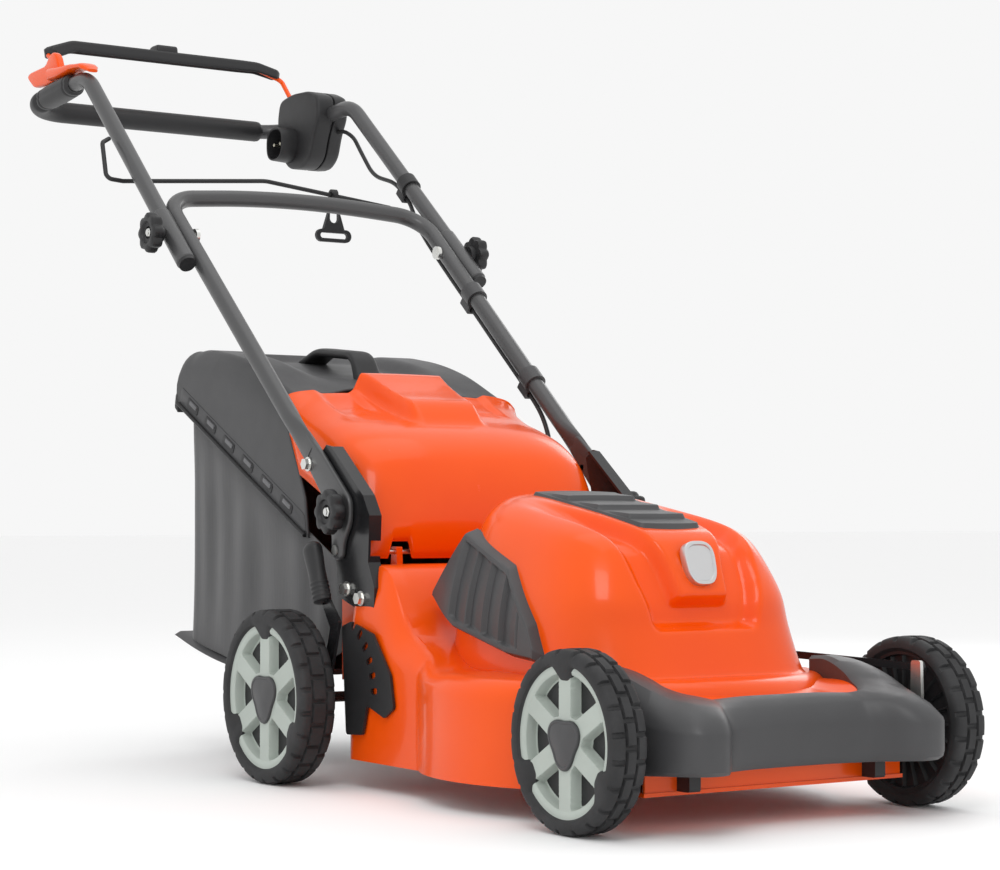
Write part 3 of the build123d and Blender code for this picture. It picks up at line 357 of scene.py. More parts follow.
def platedMetal(name, colour, rough, tint=(0.75, 0.66, 0.42), grain=900.0):
    # plate or ground metal: fine scratches, with patches of a warmer passivated tint
    shade = Shade(name, Metallic=1.0)
    patches = shade.noise(120, 4)
    scratches = shade.noise(grain, 4, 0.7, shade.stretched((1.0, 0.15, 1.0)))
    shade.feed(Base_Color=shade.mix(0.35 * patches, colour, tint))
    shade.feed(Roughness=rough + 0.22 * scratches)
    shade.relief(scratches, 0.10, 0.0002)
    return shade.material


def rubber(name, colour, rough):
    # rubber: its colour under a paler film of dust, with a fine even grain
    shade = Shade(name, IOR=1.5)
    dust = (shade.noise(26, 6) - 0.42).clamp(0, 1) * 1.8
    shade.feed(Base_Color=shade.mix(dust, colour, tuple(2.2 * c + 0.008 for c in colour)))
    shade.feed(Roughness=rough + 0.15 * shade.noise(90, 4))
    shade.relief(shade.noise(700, 3), 0.3, 0.0005)
    return shade.material


def wovenCloth(name):
    # upright ribs cross finer weft threads, with slubs and a faded bloom; u and v of the cloth are in metres
    shade = Shade(name, Sheen_Weight=0.35, Sheen_Roughness=0.5)
    flat = shade.node("ShaderNodeUVMap", {"uv_map": "cloth"})
    apart = shade.node("ShaderNodeSeparateXYZ", {}, flat)
    u, v = apart, Wire(shade, apart.socket.node.outputs[1])
    ribs = (u * (2 * np.pi * 420)).sine()
    weft = (v * (2 * np.pi * 640)).sine()
    slubs = shade.noise(1.0, 4, 0.6, shade.stretched((260.0, 16.0, 1.0), flat))
    cloud = shade.noise(7, 5)
    thread = 0.5 + 0.30 * ribs + 0.12 * weft
    tone = (0.55 * slubs + 0.25 * thread + 0.35 * cloud).clamp(0, 1)
    shade.feed(Base_Color=shade.mix(tone, (0.019, 0.019, 0.020), (0.070, 0.070, 0.073)))
    shade.feed(Roughness=0.82 + 0.1 * slubs)
    shade.relief(thread + 0.8 * slubs, 0.35, 0.0006)
    return shade.material


def laminated(name):
    # stacked motor laminations: fine level lines over bright metal
    shade = Shade(name, Metallic=0.9)
    height = Wire(shade, shade.node("ShaderNodeSeparateXYZ", {}, shade.place).socket.node.outputs[2])
    lines = (height * (2 * np.pi * 900)).sine()
    shade.feed(Base_Color=shade.mix(0.5 + 0.5 * lines, (0.30, 0.30, 0.31), (0.55, 0.55, 0.56)))
    shade.feed(Roughness=0.35 + 0.2 * shade.noise(80))
    shade.relief(lines, 0.2, 0.0003)
    return shade.material


finishes = {
    "hoodOrange": (glossOrange("hoodOrange", 420.0, 0.20), "orange_hood"),
    "deckOrange": (glossOrange("deckOrange", 260.0, 0.26), "orange_deck"),
    "greyPlastic": (satinPlastic("greyPlastic", (0.043, 0.043, 0.045), 0.34), "dark_trim"),
    "lidPlastic": (satinPlastic("lidPlastic", (0.040, 0.040, 0.042), 0.38), "dark_trim"),
    "tabGrey": (satinPlastic("tabGrey", (0.10, 0.10, 0.105), 0.34), "dark_trim"),
    "blackPlastic": (satinPlastic("blackPlastic", (0.012, 0.012, 0.013), 0.40, 900.0), "black_plastic"),
    "bracketBlack": (satinPlastic("bracketBlack", (0.010, 0.010, 0.011), 0.14, 500.0, 0.06), "bracket_paint"),
    "tubeGrey": (tubePaint("tubeGrey"), "tube_paint"),
    "zincPlate": (platedMetal("zincPlate", (0.72, 0.74, 0.76), 0.20), "zinc"),
    "bladeSteel": (platedMetal("bladeSteel", (0.36, 0.36, 0.37), 0.30, (0.20, 0.15, 0.10), 500.0),
                   "blade_steel"),
    "pinBrass": (platedMetal("pinBrass", (0.80, 0.78, 0.66), 0.18), "copper_brass"),
    "badgeMetal": (platedMetal("badgeMetal", (0.66, 0.66, 0.66), 0.26, (0.60, 0.60, 0.62)), "badge_plain"),
    "motorMetal": (laminated("motorMetal"), "motor_metal"),
    "tyreRubber": (rubber("tyreRubber", (0.016, 0.016, 0.017), 0.62), "tyre_black"),
    "cableSheath": (rubber("cableSheath", (0.018, 0.018, 0.019), 0.45), "cable_black"),
    "rimPlastic": (satinPlastic("rimPlastic", (0.36, 0.40, 0.365), 0.36, 1200.0, 0.12), "rim_grey"),
    "bagCloth": (wovenCloth("bagCloth"), "bag_cloth"),
}
cadFinish = {
    "deck": "deckOrange", "bail_rod": "hoodOrange", "handle_brackets": "bracketBlack",
    "bracket_bolts": "zincPlate", "handle_bolts": "zincPlate", "flap_hinge_pin": "zincPlate",
    "flap_spring": "zincPlate", "front_axle": "zincPlate", "rear_axle": "bracketBlack",
    "link_rod": "bracketBlack", "blade_bolt": "zincPlate", "cutting_blade": "bladeSteel",
    "height_quadrant": "blackPlastic", "axle_saddles": "blackPlastic", "motor_stator": "motorMetal",
    "motor_bearings": "motorMetal", "motor_rotor": "motorMetal", "blade_hub": "motorMetal",
    "cooling_fan": "blackPlastic", "inlet_pins": "pinBrass", "lower_cable_clips": "greyPlastic",
    "upper_tube_fittings": "blackPlastic", "wire_guide": "blackPlastic", "cord_hook": "blackPlastic",
    "cable_upper": "cableSheath", "cable_middle": "cableSheath", "cable_lower": "cableSheath",
}
for node, thing in nodes.items():
    thing.data.materials.clear()
    thing.data.materials.append(finishes[cadFinish.get(node, "greyPlastic")][0])
print("finishes made")


# camera, floor and light

studio = {"cameraAt": (-1.573, -2.5505, 0.309), "turn": 33.56, "rise": 1.89, "lens": 86.8, "sky": 0.93}


def makeStudio():
    # a camera by place and two turns, a pale floor, and three area lights aimed at the mower
    scene = bpy.context.scene
    camera = bpy.data.objects.new("camera", bpy.data.cameras.new("camera"))
    camera.data.lens = studio["lens"]
    camera.location = studio["cameraAt"]
    camera.rotation_euler = (np.radians(90 + studio["rise"]), 0, -np.radians(studio["turn"]))
    scene.collection.objects.link(camera)
    scene.camera = camera
    scene.view_settings.view_transform = "Standard"
    world = bpy.data.worlds.new("studio")
    world.use_nodes = True
    world.node_tree.nodes["Background"].inputs["Color"].default_value = (1, 1, 1, 1)
    world.node_tree.nodes["Background"].inputs["Strength"].default_value = studio["sky"]
    scene.world = world
    mesh = bpy.data.meshes.new("floor")
    mesh.from_pydata([(-30, -30, 0), (30, -30, 0), (30, 30, 0), (-30, 30, 0)], [], [(0, 1, 2, 3)])
    floor = bpy.data.objects.new("floor", mesh)
    shade = Shade("floorPaper", Roughness=0.9)
    shade.feed(Base_Color=shade.mix(shade.noise(3), (0.965, 0.965, 0.965), (0.975, 0.975, 0.975)))
    mesh.materials.append(shade.material)
    scene.collection.objects.link(floor)
    lamps = {"key": ((-1.6, -2.0, 2.6), 1.2, 20), "top": ((0.2, -0.2, 2.8), 2.0, 9),
             "rim": ((2.4, 1.0, 1.6), 1.2, 8)}
    for name, (at, size, power) in lamps.items():
        lamp = bpy.data.objects.new(name, bpy.data.lights.new(name, "AREA"))
        lamp.data.size, lamp.data.energy = size, power
        lamp.location = at
        aim = Vector((0, -0.2, 0.35)) - Vector(at)
        lamp.rotation_euler = aim.to_track_quat("-Z", "Y").to_euler()
        scene.collection.objects.link(lamp)


makeStudio()
print("studio made")


# motor hood, grille, badge and side vents

hood = {
    # one row a level: height at y -60, tilt, front y, rear y, half width, squareness
    "levels": [(120, 0.0, -322, 106, 149, 7), (129, 0.0, -262, 106, 151, 6),
               (139, 0.0, -233, 105.5, 151.5, 5), (152, 0.0, -222, 105, 151.5, 4.6),
               (190, 0.0, -207, 100, 150, 4.3), (226, 0.03, -202, 95, 146, 4.0),
               (262, 0.08, -189, 89, 136, 3.8), (289, 0.12, -176, 83, 124, 3.6),
               (303, 0.155, -163, 75, 110, 3.4), (310, 0.18, -146, 64, 92, 3.2),
               (313.5, 0.197, -110, 40, 62, 3.0), (314.5, 0.197, -78, 5, 25, 2.6)],
    "around": 360, "rings": 130, "channel": 17.0, "wall": 2.5,
}
hoodLevels = np.array(hood["levels"], float)


def hoodShape(turn, level):
    # each level is a superellipse |x/a|^n + |y/b|^n = 1, raised along y by its tilt; levels join smoothly
    row = smoothThrough(np.arange(len(hoodLevels)), hoodLevels, level)
    zc, tilt, front, rear, half, n = np.moveaxis(row, -1, 0)
    c, s = np.cos(turn), np.sin(turn)
    reach = (np.abs(c) ** n + np.abs(s) ** n) ** (-1 / n)
    x = half * reach * c
    y = (front + rear) / 2 + (rear - front) / 2 * reach * s
    return np.stack([x, y, zc + tilt * (y + 60)], axis=-1)


def hoodSurface():
    # the dome, pushed inwards along its normals in a channel each side of the raised tongue
    turn = np.linspace(0, 2 * np.pi, hood["around"], endpoint=False)[None, :]
    level = np.linspace(0, len(hoodLevels) - 1, hood["rings"])[:, None]
    grid = hoodShape(*np.broadcast_arrays(turn, level))
    around = np.roll(grid, -1, 1) - np.roll(grid, 1, 1)
    normal = unit(np.cross(around, np.gradient(grid, axis=0)))
    x, y, z = np.moveaxis(grid, -1, 0)
    angle = np.degrees(np.arctan2(z - 180, -(y + 60)))
    outerHalf = np.interp(angle, [2, 25, 60, 130], [62, 76, 88, 94])
    tongueHalf = np.interp(angle, [10, 30, 45, 120], [31, 37, 46, 72])
    inRecess = ease(outerHalf - np.abs(x), -8, 8) * ease(angle, 2.5, 8.0) * (1 - ease(angle, 66, 122))
    onTongue = ease(tongueHalf - np.abs(x), -8, 5) * ease(angle, 13, 18.5)
    depth = hood["channel"] * inRecess * (1 - onTongue)
    grid = grid - normal * depth[..., None]
    rise = 20 * ease(np.abs(x), 92, 150) * (1 - ease(level, 0.0, 3.0)) * ease(-y, 180, 300)
    grid[..., 2] += rise
    return grid


def hoodTop(x, y):
    # the roof's height at a place on the tongue
    return 314.3 + 0.197 * (y + 60) - 2.2e-4 * x * x


def makeHood():
    # the hood's levels stacked, with one face over the last
    grid = hoodSurface()
    points, faces = surface(grid)
    count, columns = grid.shape[:2]
    faces.append(list(range((count - 1) * columns, count * columns)))
    piece("motor_hood", [(points, faces)], "chassis", "hoodOrange", ["hood"], sharp=80, wall=hood["wall"])


grille = {"front": -152.0, "rear": 44.0, "frontHalf": 42.0, "rearHalf": 62.0, "step": 5.5, "tiers": 3}


def makeGrille():
    # a tapered plate over the tongue with three louvre tiers, each rising to its front lip
    v = np.linspace(0, 1, 97)[:, None]
    u = np.linspace(-1, 1, 41)[None, :]
    half = grille["frontHalf"] + (grille["rearHalf"] - grille["frontHalf"]) * v
    edge = np.minimum(ease(1 - np.abs(u), 0, 0.10), ease(np.minimum(v, 1 - v), 0, 0.035))
    half = half - 6 * (1 - ease(np.minimum(v, 1 - v), 0, 0.05))
    x = u * half
    y = grille["front"] + (grille["rear"] - grille["front"]) * v + 5 * (u * u) * (1 - 2 * v)
    tierAt = np.clip((v - 0.14) / 0.80, 0, 0.9999) * grille["tiers"]
    phase = tierAt - np.floor(tierAt)
    inTier = ease(v, 0.13, 0.16) * (1 - ease(v, 0.93, 0.95)) * ease(0.86 - np.abs(u), 0, 0.06)
    louvre = grille["step"] * (1 - phase) * ease(phase, 0.0, 0.10)
    z = hoodTop(x, y) - 5 + edge * (7.5 + inTier * louvre)
    grid = np.stack(np.broadcast_arrays(x, y, z), axis=-1)
    under = grid - [0, 0, 6]
    under[..., 2] = np.minimum(under[..., 2], (hoodTop(x, y) - 8))
    ringed = np.concatenate([grid, under[:, ::-1]], axis=1)
    piece("air_grille", [surface(ringed, ends="flat")], "chassis", "greyPlastic", ["hood_grille"], sharp=30)


badge = {"halfWide": 21.0, "halfHigh": 24.0, "thick": 3.4}


def makeBadge():
    # a plain rounded shield on the nose: rings of a squared oval, stepped up to a rim and down to its face
    t = np.linspace(0, 2 * np.pi, 64, endpoint=False)
    reach = (np.abs(np.cos(t)) ** 3 + np.abs(np.sin(t)) ** 3) ** (-1 / 3)
    taper = 1 - 0.14 * (1 - np.sin(t)) / 2
    steps = [(1.0, -6), (1.0, 1.6), (0.97, 2.8), (0.90, badge["thick"]), (0.83, badge["thick"]), (0.79, 2.0),
             (0.4, 2.0), (0.02, 2.0)]
    up = unit([0, 0.30, 0.954])
    out = unit(np.cross([1.0, 0, 0], up) * -1)
    out = out if out[1] < 0 else -out
    centre = np.array([0, -193.0, 258.0])
    rings = [centre + size * reach[:, None] * (badge["halfWide"] * (np.cos(t) * taper)[:, None] * [1, 0, 0]
             + badge["halfHigh"] * np.sin(t)[:, None] * up) + lift * out for size, lift in steps]
    shield = surface(np.stack(rings), ends="flat")
    piece("nose_badge", [shield], "chassis", "badgeMetal", ["hood_badge"], sharp=30)


vent = {"rim": 11.0, "recess": 6.0, "slats": 4, "slat": 6.0}


def ventSurface():
    # over a (y, z) field, the panel follows the hood's side, falls away at its rim and is recessed for slats
    v = np.linspace(0, 1, 78)[:, None]
    u = np.linspace(0, 1, 150)[None, :]
    y = -125 + 227 * u
    top = np.interp(y, [-125, -108, -54, 50, 102], [163, 196, 257, 294, 221])
    low = np.interp(y, [-125, -70, 36, 102], [153, 158, 182, 217])
    z = low + (top - low) * v
    y = np.broadcast_to(y, z.shape)
    inside = np.minimum(np.minimum(v * (top - low), (1 - v) * (top - low)), np.minimum(u, 1 - u) * 227)
    x = smoothThrough([140, 170, 200, 232, 262, 300], [163, 163, 161, 155, 146, 132], z)
    x = x - 16 * (1 - ease(inside, -2, 7))
    rear = ease(y, 40, 48)
    field = ease(inside, vent["rim"], vent["rim"] + 3) * (1 - rear) * ease(y, -92, -86)
    across = (y + 90) / 132 * vent["slats"]
    phase = across - np.floor(across)
    x = x - field * (vent["recess"] - vent["slat"] * (1 - phase) * ease(phase, 0, 0.12))
    x = x - 7 * rear * ease(y, 46, 104)
    return np.stack([x, y, z], axis=-1)


def makeVents():
    # one panel worked out for a side, and its mirror image
    outer = ventSurface()
    inner = outer.copy()
    inner[..., 0] = np.minimum(inner[..., 0] - 8, 128)
    side = surface(np.concatenate([outer, inner[:, ::-1]], axis=1), ends="flat")
    piece("side_vent_panels", [side, mirrored(side)], "chassis", "greyPlastic", ["side_vents"], sharp=32)


makeHood()
makeGrille()
makeBadge()
makeVents()
print("hood made")


# deck skin over the pressed deck, and front bumper

deckSkin = {"radius": 225.6, "middle": -60.0, "straight": 197.2, "rear": 195.4, "bottom": 32.0, "lip": 3.0}


def deckOutline(count=260):
    # a front circle joined to straight sides, then the rear edge of the step
    a = np.linspace(np.radians(28), np.radians(-208), 150)
    circle = [0, deckSkin["middle"]] + deckSkin["radius"] * np.column_stack([np.cos(a), np.sin(a)])
    flank = np.array([[-199, 75], [-198, 130], [-deckSkin["straight"], deckSkin["rear"]]])
    path = np.vstack([flank[::-1] * [-1, 1], circle, flank])
    return evenly(path, count)


def makeDeckSkin():
    # walls rise from the rim to the crease; a shoulder curves in to the top, which climbs to the rear
    outline = deckOutline()
    x, y = outline.T
    crease = smoothThrough([-290, -158, -107, -18, 50, 110, 196], [110, 114, 113.5, 119, 130, 142, 152], y)
    shoulder = smoothThrough([-290, -126, -48, 20, 60, 92, 141, 196],
                             [141, 141, 141.5, 144, 162, 180, 243, 251.2], y)
    rodSide = ease(x, 100, 150) * ease(y, -215, -190)
    crease = crease * (1 - rodSide) + 114 * rodSide
    rearward = ease(y, 10, 120)
    topInset = 23 - 3 * rearward
    middle = np.column_stack([np.zeros_like(x), np.clip(y, -40, 195.4)])
    inwardDir = unit(middle - outline)
    past = np.maximum(x - 182, 0) / np.maximum(-inwardDir[:, 0], 0.5)
    rings = [np.column_stack([outline + inwardDir * deckSkin["lip"], np.full_like(x, deckSkin["bottom"])])]
    for t in (0.0, 0.5, 1.0):
        rings.append(np.column_stack([outline, deckSkin["bottom"] + (crease - deckSkin["bottom"]) * t]))
    for t in np.linspace(0.12, 1, 12):
        lean = 1 - np.cos(t * np.pi / 2)
        rise = np.sin(t * np.pi / 2)
        soft = t * t * (3 - 2 * t)
        inset = topInset * ((1 - rearward) * lean + rearward * (0.25 * lean + 0.75 * soft))
        inset = inset * (1 - rodSide) + (past + np.maximum(topInset - past, 0) * soft) * rodSide
        height = crease + (shoulder - crease) * rise
        rings.append(np.column_stack([outline + inwardDir * inset[:, None], height]))
    edge = rings[-1]
    for t in (0.1, 0.3, 0.6, 0.9):
        place = edge[:, :2] * (1 - t) + middle * t
        rings.append(np.column_stack([place, edge[:, 2] + 1.2 * np.sin(min(t, 0.3) / 0.3 * np.pi / 2)]))
    skin = surface(np.stack(rings), around=False)
    piece("deck_skin", [skin], "chassis", "deckOrange", sharp=60, wall=0.45)


bumper = {
    # a row a station of one half: outer x, outer y, inner x, inner y, bottom, crease, top outer, top inner
    "stations": [(0, -343, 0, -312, 59, 101, 119, 128), (50, -345, 46, -314, 59, 101, 119, 128),
                 (84, -352, 80, -318, 59, 101, 120, 127), (100, -366, 88, -320, 60, 101, 121, 127),
                 (118, -390, 98, -322, 61, 101, 123, 129), (134, -397, 106, -318, 61, 102, 125, 131),
                 (158, -391, 116, -306, 61, 103, 128, 134), (172, -362, 122, -290, 60, 104, 132, 139),
                 (178, -330, 126, -276, 58, 108, 141, 146), (178.5, -290, 132, -252, 54, 114, 151, 154),
                 (178.5, -245, 140, -225, 50, 120, 156, 158), (178, -200, 150, -192, 50, 122, 155, 156)],
    "steps": 64,
}


def bumperRing(row):
    # a closed section: bottom inner, bottom outer, crease, rounded shoulder, top, and back down inside
    ox, oy, ix, iy, low, crease, topOut, topIn = np.moveaxis(row, -1, 0)
    points = [(0.35, low + 2), (0.75, low - 1), (0.93, low), (0.985, low + 4), (1.0, low + 10),
              (1.0, crease - 3), (0.985, crease + 1), (0.84, crease + (topOut - crease) * 0.56),
              (0.64, topOut - 0.5), (0.58, topOut + 1), (0.4, (topOut + topIn) / 2 + 1.5),
              (0.10, topIn + 0.8), (0.0, topIn - 3), (0.0, topIn - 16)]
    rows = [np.stack([ix + (ox - ix) * t, iy + (oy - iy) * t, z], axis=-1) for t, z in points]
    return np.stack(rows, axis=1)


def makeBumper():
    # the half section's stations, mirrored to make the whole
    rows = np.array(bumper["stations"], float)
    at = np.linspace(0, len(rows) - 1, bumper["steps"])
    half = smoothThrough(np.arange(len(rows)), rows, at)
    grid = bumperRing(half)
    fine = np.concatenate([grid[::-1] * [-1, 1, 1], grid[1:]], axis=0)
    piece("bumper_shell", [surface(fine, ends="flat")], "chassis", "greyPlastic", ["front_bumper"], sharp=34)


def makeFrontLip():
    # an upright strip that closes the deck's front under the bumper
    section = roundOutline([(-316.5, 37), (-312.5, 37), (-312.5, 66), (-316.5, 66)], 1.5, 32)
    strip = puffed(section, -166, 166, 1.0, 3)
    piece("front_lip", [strip], "chassis", "deckOrange", sharp=40)


makeDeckSkin()
makeBumper()
makeFrontLip()
print("deck and bumper made")


# rear flap and grass bag

flap = {"half": 170.0, "square": 5.0,
        "profile": [(208, 258), (203, 270), (202, 292), (207, 320), (217, 352), (233, 380), (262, 402),
                    (300, 417), (345, 430), (385, 446), (408, 459), (414, 462)],
        "edge": [(228, 260), (240, 270), (252, 284), (262, 298), (280, 314), (305, 330), (345, 348),
                 (378, 364), (386, 385), (392, 408), (402, 432), (408, 446)]}


def flapShape(turn, v):
    # a superellipse carries the skin from the middle's profile to the side wall's own edge
    keys = np.linspace(0, 1, len(flap["profile"]))
    profile = smoothThrough(keys, np.array(flap["profile"], float), v)
    edge = smoothThrough(keys, np.array(flap["edge"], float), v)
    bend = 1 - np.clip(np.cos(turn), 0, 1) ** (2 / flap["square"])
    reach = np.sign(turn) * np.abs(np.sin(turn)) ** (2 / flap["square"])
    crown = 5 * (1 - reach * reach) * ease(v, 0.05, 0.4)
    y = profile[..., 0] + (edge[..., 0] - profile[..., 0]) * bend - 0.5 * crown
    z = profile[..., 1] + (edge[..., 1] - profile[..., 1]) * bend + 0.8 * crown
    return flap["half"] * reach * (1 - 0.06 * ease(v, 0.55, 1.0) * (1 - bend)), y, z


def makeFlap():
    # the dome, with a raised trapezoid at its rear edge and a sunk panel each side of it
    even = np.linspace(-1, 1, 221)
    turn = (np.sign(even) * np.abs(even) ** 1.6 * np.pi / 2)[None, :]
    v = np.linspace(0, 1, 130)[:, None]
    turn, v = np.broadcast_arrays(turn, v)
    x, y, z = flapShape(turn, v)
    half = np.interp(v, [0.60, 1.0], [44, 62])
    bump = ease(half - np.abs(x), -9, 5) * ease(v, 0.60, 0.70)
    beside = ease(np.abs(x), 66, 78) * (1 - ease(np.abs(x), 112, 126)) * ease(v, 0.70, 0.80)
    earNotch = ease(13 - np.abs(np.abs(x) - 124), -3, 3) * np.clip((300 - z) / 42, 0, 1)
    z = z + 20 * bump - 5 * beside + 20 * earNotch
    y = y - 8 * bump * (1 - ease(v, 0.8, 1.0))
    grid = np.stack([x, y, z], axis=-1)
    shell = surface(grid, around=False)
    piece("rear_flap_shell", [shell], "flap", "hoodOrange", ["rear_flap"], sharp=40, wall=2.5)


lid = {"half": 170.0, "slots": 6}


def lidSurface():
    # arches from the near lower edge over the two shoulder ridges to the far one, carried towards the rear
    v = np.linspace(0, 1, 70)[:, None]
    u = np.linspace(-1, 1, 161)[None, :]
    u, v = np.broadcast_arrays(u, v)
    side = np.abs(u)
    climb = np.where(side > 0.5, (1 - side) / 0.5, 1.0)
    arch = np.where(climb < 1, 1 - (1 - np.clip(climb, 0, 1)) ** 2.6, 1.0)
    front = np.interp(arch, [0, 0.3, 0.62, 0.86, 1], [345, 352, 384, 405, 416])
    y = front + (698 - front) * v
    low = np.interp(y, [345, 700], [281, 458])
    ridge = smoothThrough([340, 414, 500, 600, 660, 690, 700], [430, 458, 494, 518, 523, 516, 500], y)
    top = smoothThrough([340, 414, 480, 560, 640, 690, 700], [436, 465, 480, 494, 511, 514, 498], y)
    x = np.sign(u) * np.where(side > 0.5, lid["half"] - 20 * ease(climb, 0.35, 1.0), 150 * side / 0.5)
    inner = 1 - ease(np.abs(x), 66, 108)
    height = ridge + (top - ridge) * inner
    z = low + (height - low) * arch
    y = y - 26 * ease(v, 0.86, 1) * arch * (1 - ease(side, 0.35, 0.5)) * 0.3
    return np.stack([x, y, z], axis=-1)


def makeLid():
    # the arch, closed at the rear by rows that drop to the lower edge and bow out by a half sine
    grid = lidSurface()
    rear = grid[-1]
    closing = []
    for t in (0.25, 0.5, 0.75, 1.0):
        row = rear.copy()
        lowEdge = 458 - 14 * t
        row[:, 2] = rear[:, 2] * (1 - t) + lowEdge * t
        row[:, 1] = rear[:, 1] + 3 * np.sin(t * np.pi) + 2
        closing.append(row)
    full = np.concatenate([grid, np.stack(closing)], axis=0)
    shell = surface(full, around=False)
    piece("bag_lid_shell", [shell], "bag", "lidPlastic", ["bag_lid"], sharp=44, wall=2.5)
    rims = []
    for sign in (1, -1):
        path = np.array([[sign * 170.5, y, z] for y, z in ((350, 284), (520, 368), (694, 455))])
        rims.append(carry(evenly(path, 24), ring(2.6, 12, 1.8), (1, 0, 0)))
    across = np.array([[-168, 699, 452], [0, 702, 450], [168, 699, 452]], float)
    rims.append(carry(evenly(across, 20), ring(3.0, 12), (0, 0, 1)))
    piece("bag_lid_rim", rims, "bag", "blackPlastic", sharp=40)
    along, over = unit([337, 170]), unit([-170, 337])
    band = np.array([[349, 285], [692, 456], [688, 478], [352, 309]], float)
    strap = puffed(roundOutline(band, 5, 90), 166.5, 171.0, 1.4, 3)
    piece("bag_edge_band", [strap, mirrored(strap)], "bag", "lidPlastic", sharp=40)
    slots, tabs = [], []
    for i in range(lid["slots"]):
        at = np.array([372, 309]) + (i + 0.5) / lid["slots"] * np.array([306, 154])
        opening = [at + a * along + b * over for a, b in ((-17, -7), (17, -7), (17, 6), (-17, 6))]
        slots.append(puffed(roundOutline(opening, 4, 48), 168, 171.8, 0.5, 3))
        tongue = [at + a * along + b * over for a, b in ((-13, -1.5), (8, -1.5), (8, 4.5), (-13, 4.5))]
        tabs.append(puffed(roundOutline(tongue, 2, 40), 168, 173.2, 1.0, 3))
    for name, halves, finish in (("slots", slots, "blackPlastic"), ("tabs", tabs, "tabGrey")):
        piece(f"bag_edge_{name}", halves + [mirrored(half) for half in halves], "bag", finish, sharp=40)


cloth = {"side": 165.0, "rear": 683.0, "front": 262.0, "corner": 26.0, "columns": 260, "rows": 90}


def clothSheet():
    # the band runs down one side, round the rear and up the other; it hangs in shallow pleats that fade at
    # the sewn edges, belly inwards by a few millimetres, and draws in at the rear corners
    f, r, s, c = cloth["front"], cloth["rear"], cloth["side"], cloth["corner"]
    path = bentPath([(-s, f, 0), (-s, r, 0), (s, r, 0), (s, f, 0)], [c, c])
    path = evenly(path, cloth["columns"])
    outwards = unit(np.cross(unit(np.gradient(path, axis=0)), [0, 0, -1.0]))
    steps = np.r_[0, np.cumsum(np.linalg.norm(np.diff(path, axis=0), axis=1))]
    t = np.linspace(0, 1, cloth["rows"])[:, None]
    y = path[None, :, 1]
    top = np.interp(y, [262, 300, 345, 700], [246, 262, 284, 461]) + 2
    low = np.interp(y, [262, 300, 420, 560, 690], [156, 141, 124, 131, 153]) - 4
    z = low + (top - low) * t
    edges = np.sin(np.pi * t) ** 0.8
    along = steps[None, :]
    pleat = (1.5 * np.sin(along / 21.0 + 2.2 * t) + 1.1 * np.sin(along / 9.3 + 1.7 * np.sin(along / 60.0))
             + 0.9 * np.sin(along / 37.0 - 3.0 * t))
    fanned = 1.6 * np.sin((along + 160 * t) / 17.0) * ease(t, 0.5, 1.0)
    belly = -4.0 * edges * ease(np.sin(np.pi * along / steps[-1]), 0, 0.4)
    offset = belly + (pleat + fanned) * edges * 0.75
    grid = np.stack(np.broadcast_arrays(path[None, :, 0], path[None, :, 1], z), axis=-1)
    grid = grid + offset[..., None] * outwards[None]
    uv = np.stack(np.broadcast_arrays(along / 1000, z / 1000), axis=-1).reshape(-1, 2)
    tallness = (top - low).ravel()
    area = float(np.sum((tallness[1:] + tallness[:-1]) / 2 * np.diff(steps))) * 1e-6
    return grid, uv, steps[-1] / 1000, float((top - low).max()) / 1000, area


def makeCloth():
    # the pleated band, with the size it is cut to printed
    grid, uv, long, tall, area = clothSheet()
    sheet = piece("bag_cloth", [surface(grid, around=False)], "bag", "bagCloth", ["bag_fabric"], sharp=80,
                  wall=0.6, uv=uv)
    print("bag cloth", round(long, 3), round(tall, 3), "area", round(area, 4))


def makeBagBase():
    # a shallow tray rim that follows the bag's foot, with a lip that stands out all round
    foot = np.array([[420, 111], [500, 113], [560, 119], [640, 134], [697, 149]], float)
    y = np.linspace(420, 697, 40)
    rail = smoothThrough(foot[:, 0], foot[:, 1], y) + 4
    section = roundOutline([(-174, -4), (174, -4), (174, 3), (-174, 3)], 2.5, 60)
    rows = np.empty((40, 60, 3))
    rows[..., 0], rows[..., 1] = section[:, 0], y[:, None]
    rows[..., 2] = rail[:, None] + section[:, 1]
    rim = surface(rows, ends="flat")
    piece("bag_base_rim", [rim], "bag", "greyPlastic", ["bag_base"], sharp=40)


def makeCarryHandle():
    # a low arch with a rounded section that is deeper at its two feet
    path = bentPath([(0, 488, 470), (0, 510, 514), (0, 606, 524), (0, 655, 506)], [26, 60], 16)
    path = evenly(path, 56)
    t = np.linspace(0, 1, 56)
    deep = 6.0 + 3.0 * np.exp(-((t - 0.05) / 0.12) ** 2)
    wide = 17.0 + 3.0 * np.abs(2 * t - 1) ** 3
    section = squaredRing(28, 0.6)[None] * np.stack([wide, deep], axis=1)[:, None, :]
    arch = carry(path, section, (0, 0, 1))
    piece("carry_handle", [arch], "bag", "blackPlastic", ["bag_carry_handle"], sharp=45)


makeFlap()
makeLid()
makeCloth()
makeBagBase()
makeCarryHandle()
print("bag and flap made")


# wheels

wheels = {
    # outer face x, width, radius, y, axle height, tread blocks round
    "front": (240.0, 41.0, 90.0, -279.5, 90.0, 21),
    "rear": (268.5, 46.0, 100.0, 279.5, 100.0, 23),
    "around": 448, "groove": 3.2, "spokeHalf": 0.115, "cap": 0.27,
}


def onWheel(depth, radius, turn, axle, side):
    # depth runs inwards from the outer face; the turn is anticlockwise seen from the mower's right
    outer, _, _, y, z, _ = wheels[axle]
    depth, radius, turn = np.broadcast_arrays(depth, radius, turn)
    return np.stack([side * (outer - depth), y + radius * np.cos(turn), z + radius * np.sin(turn)], axis=-1)


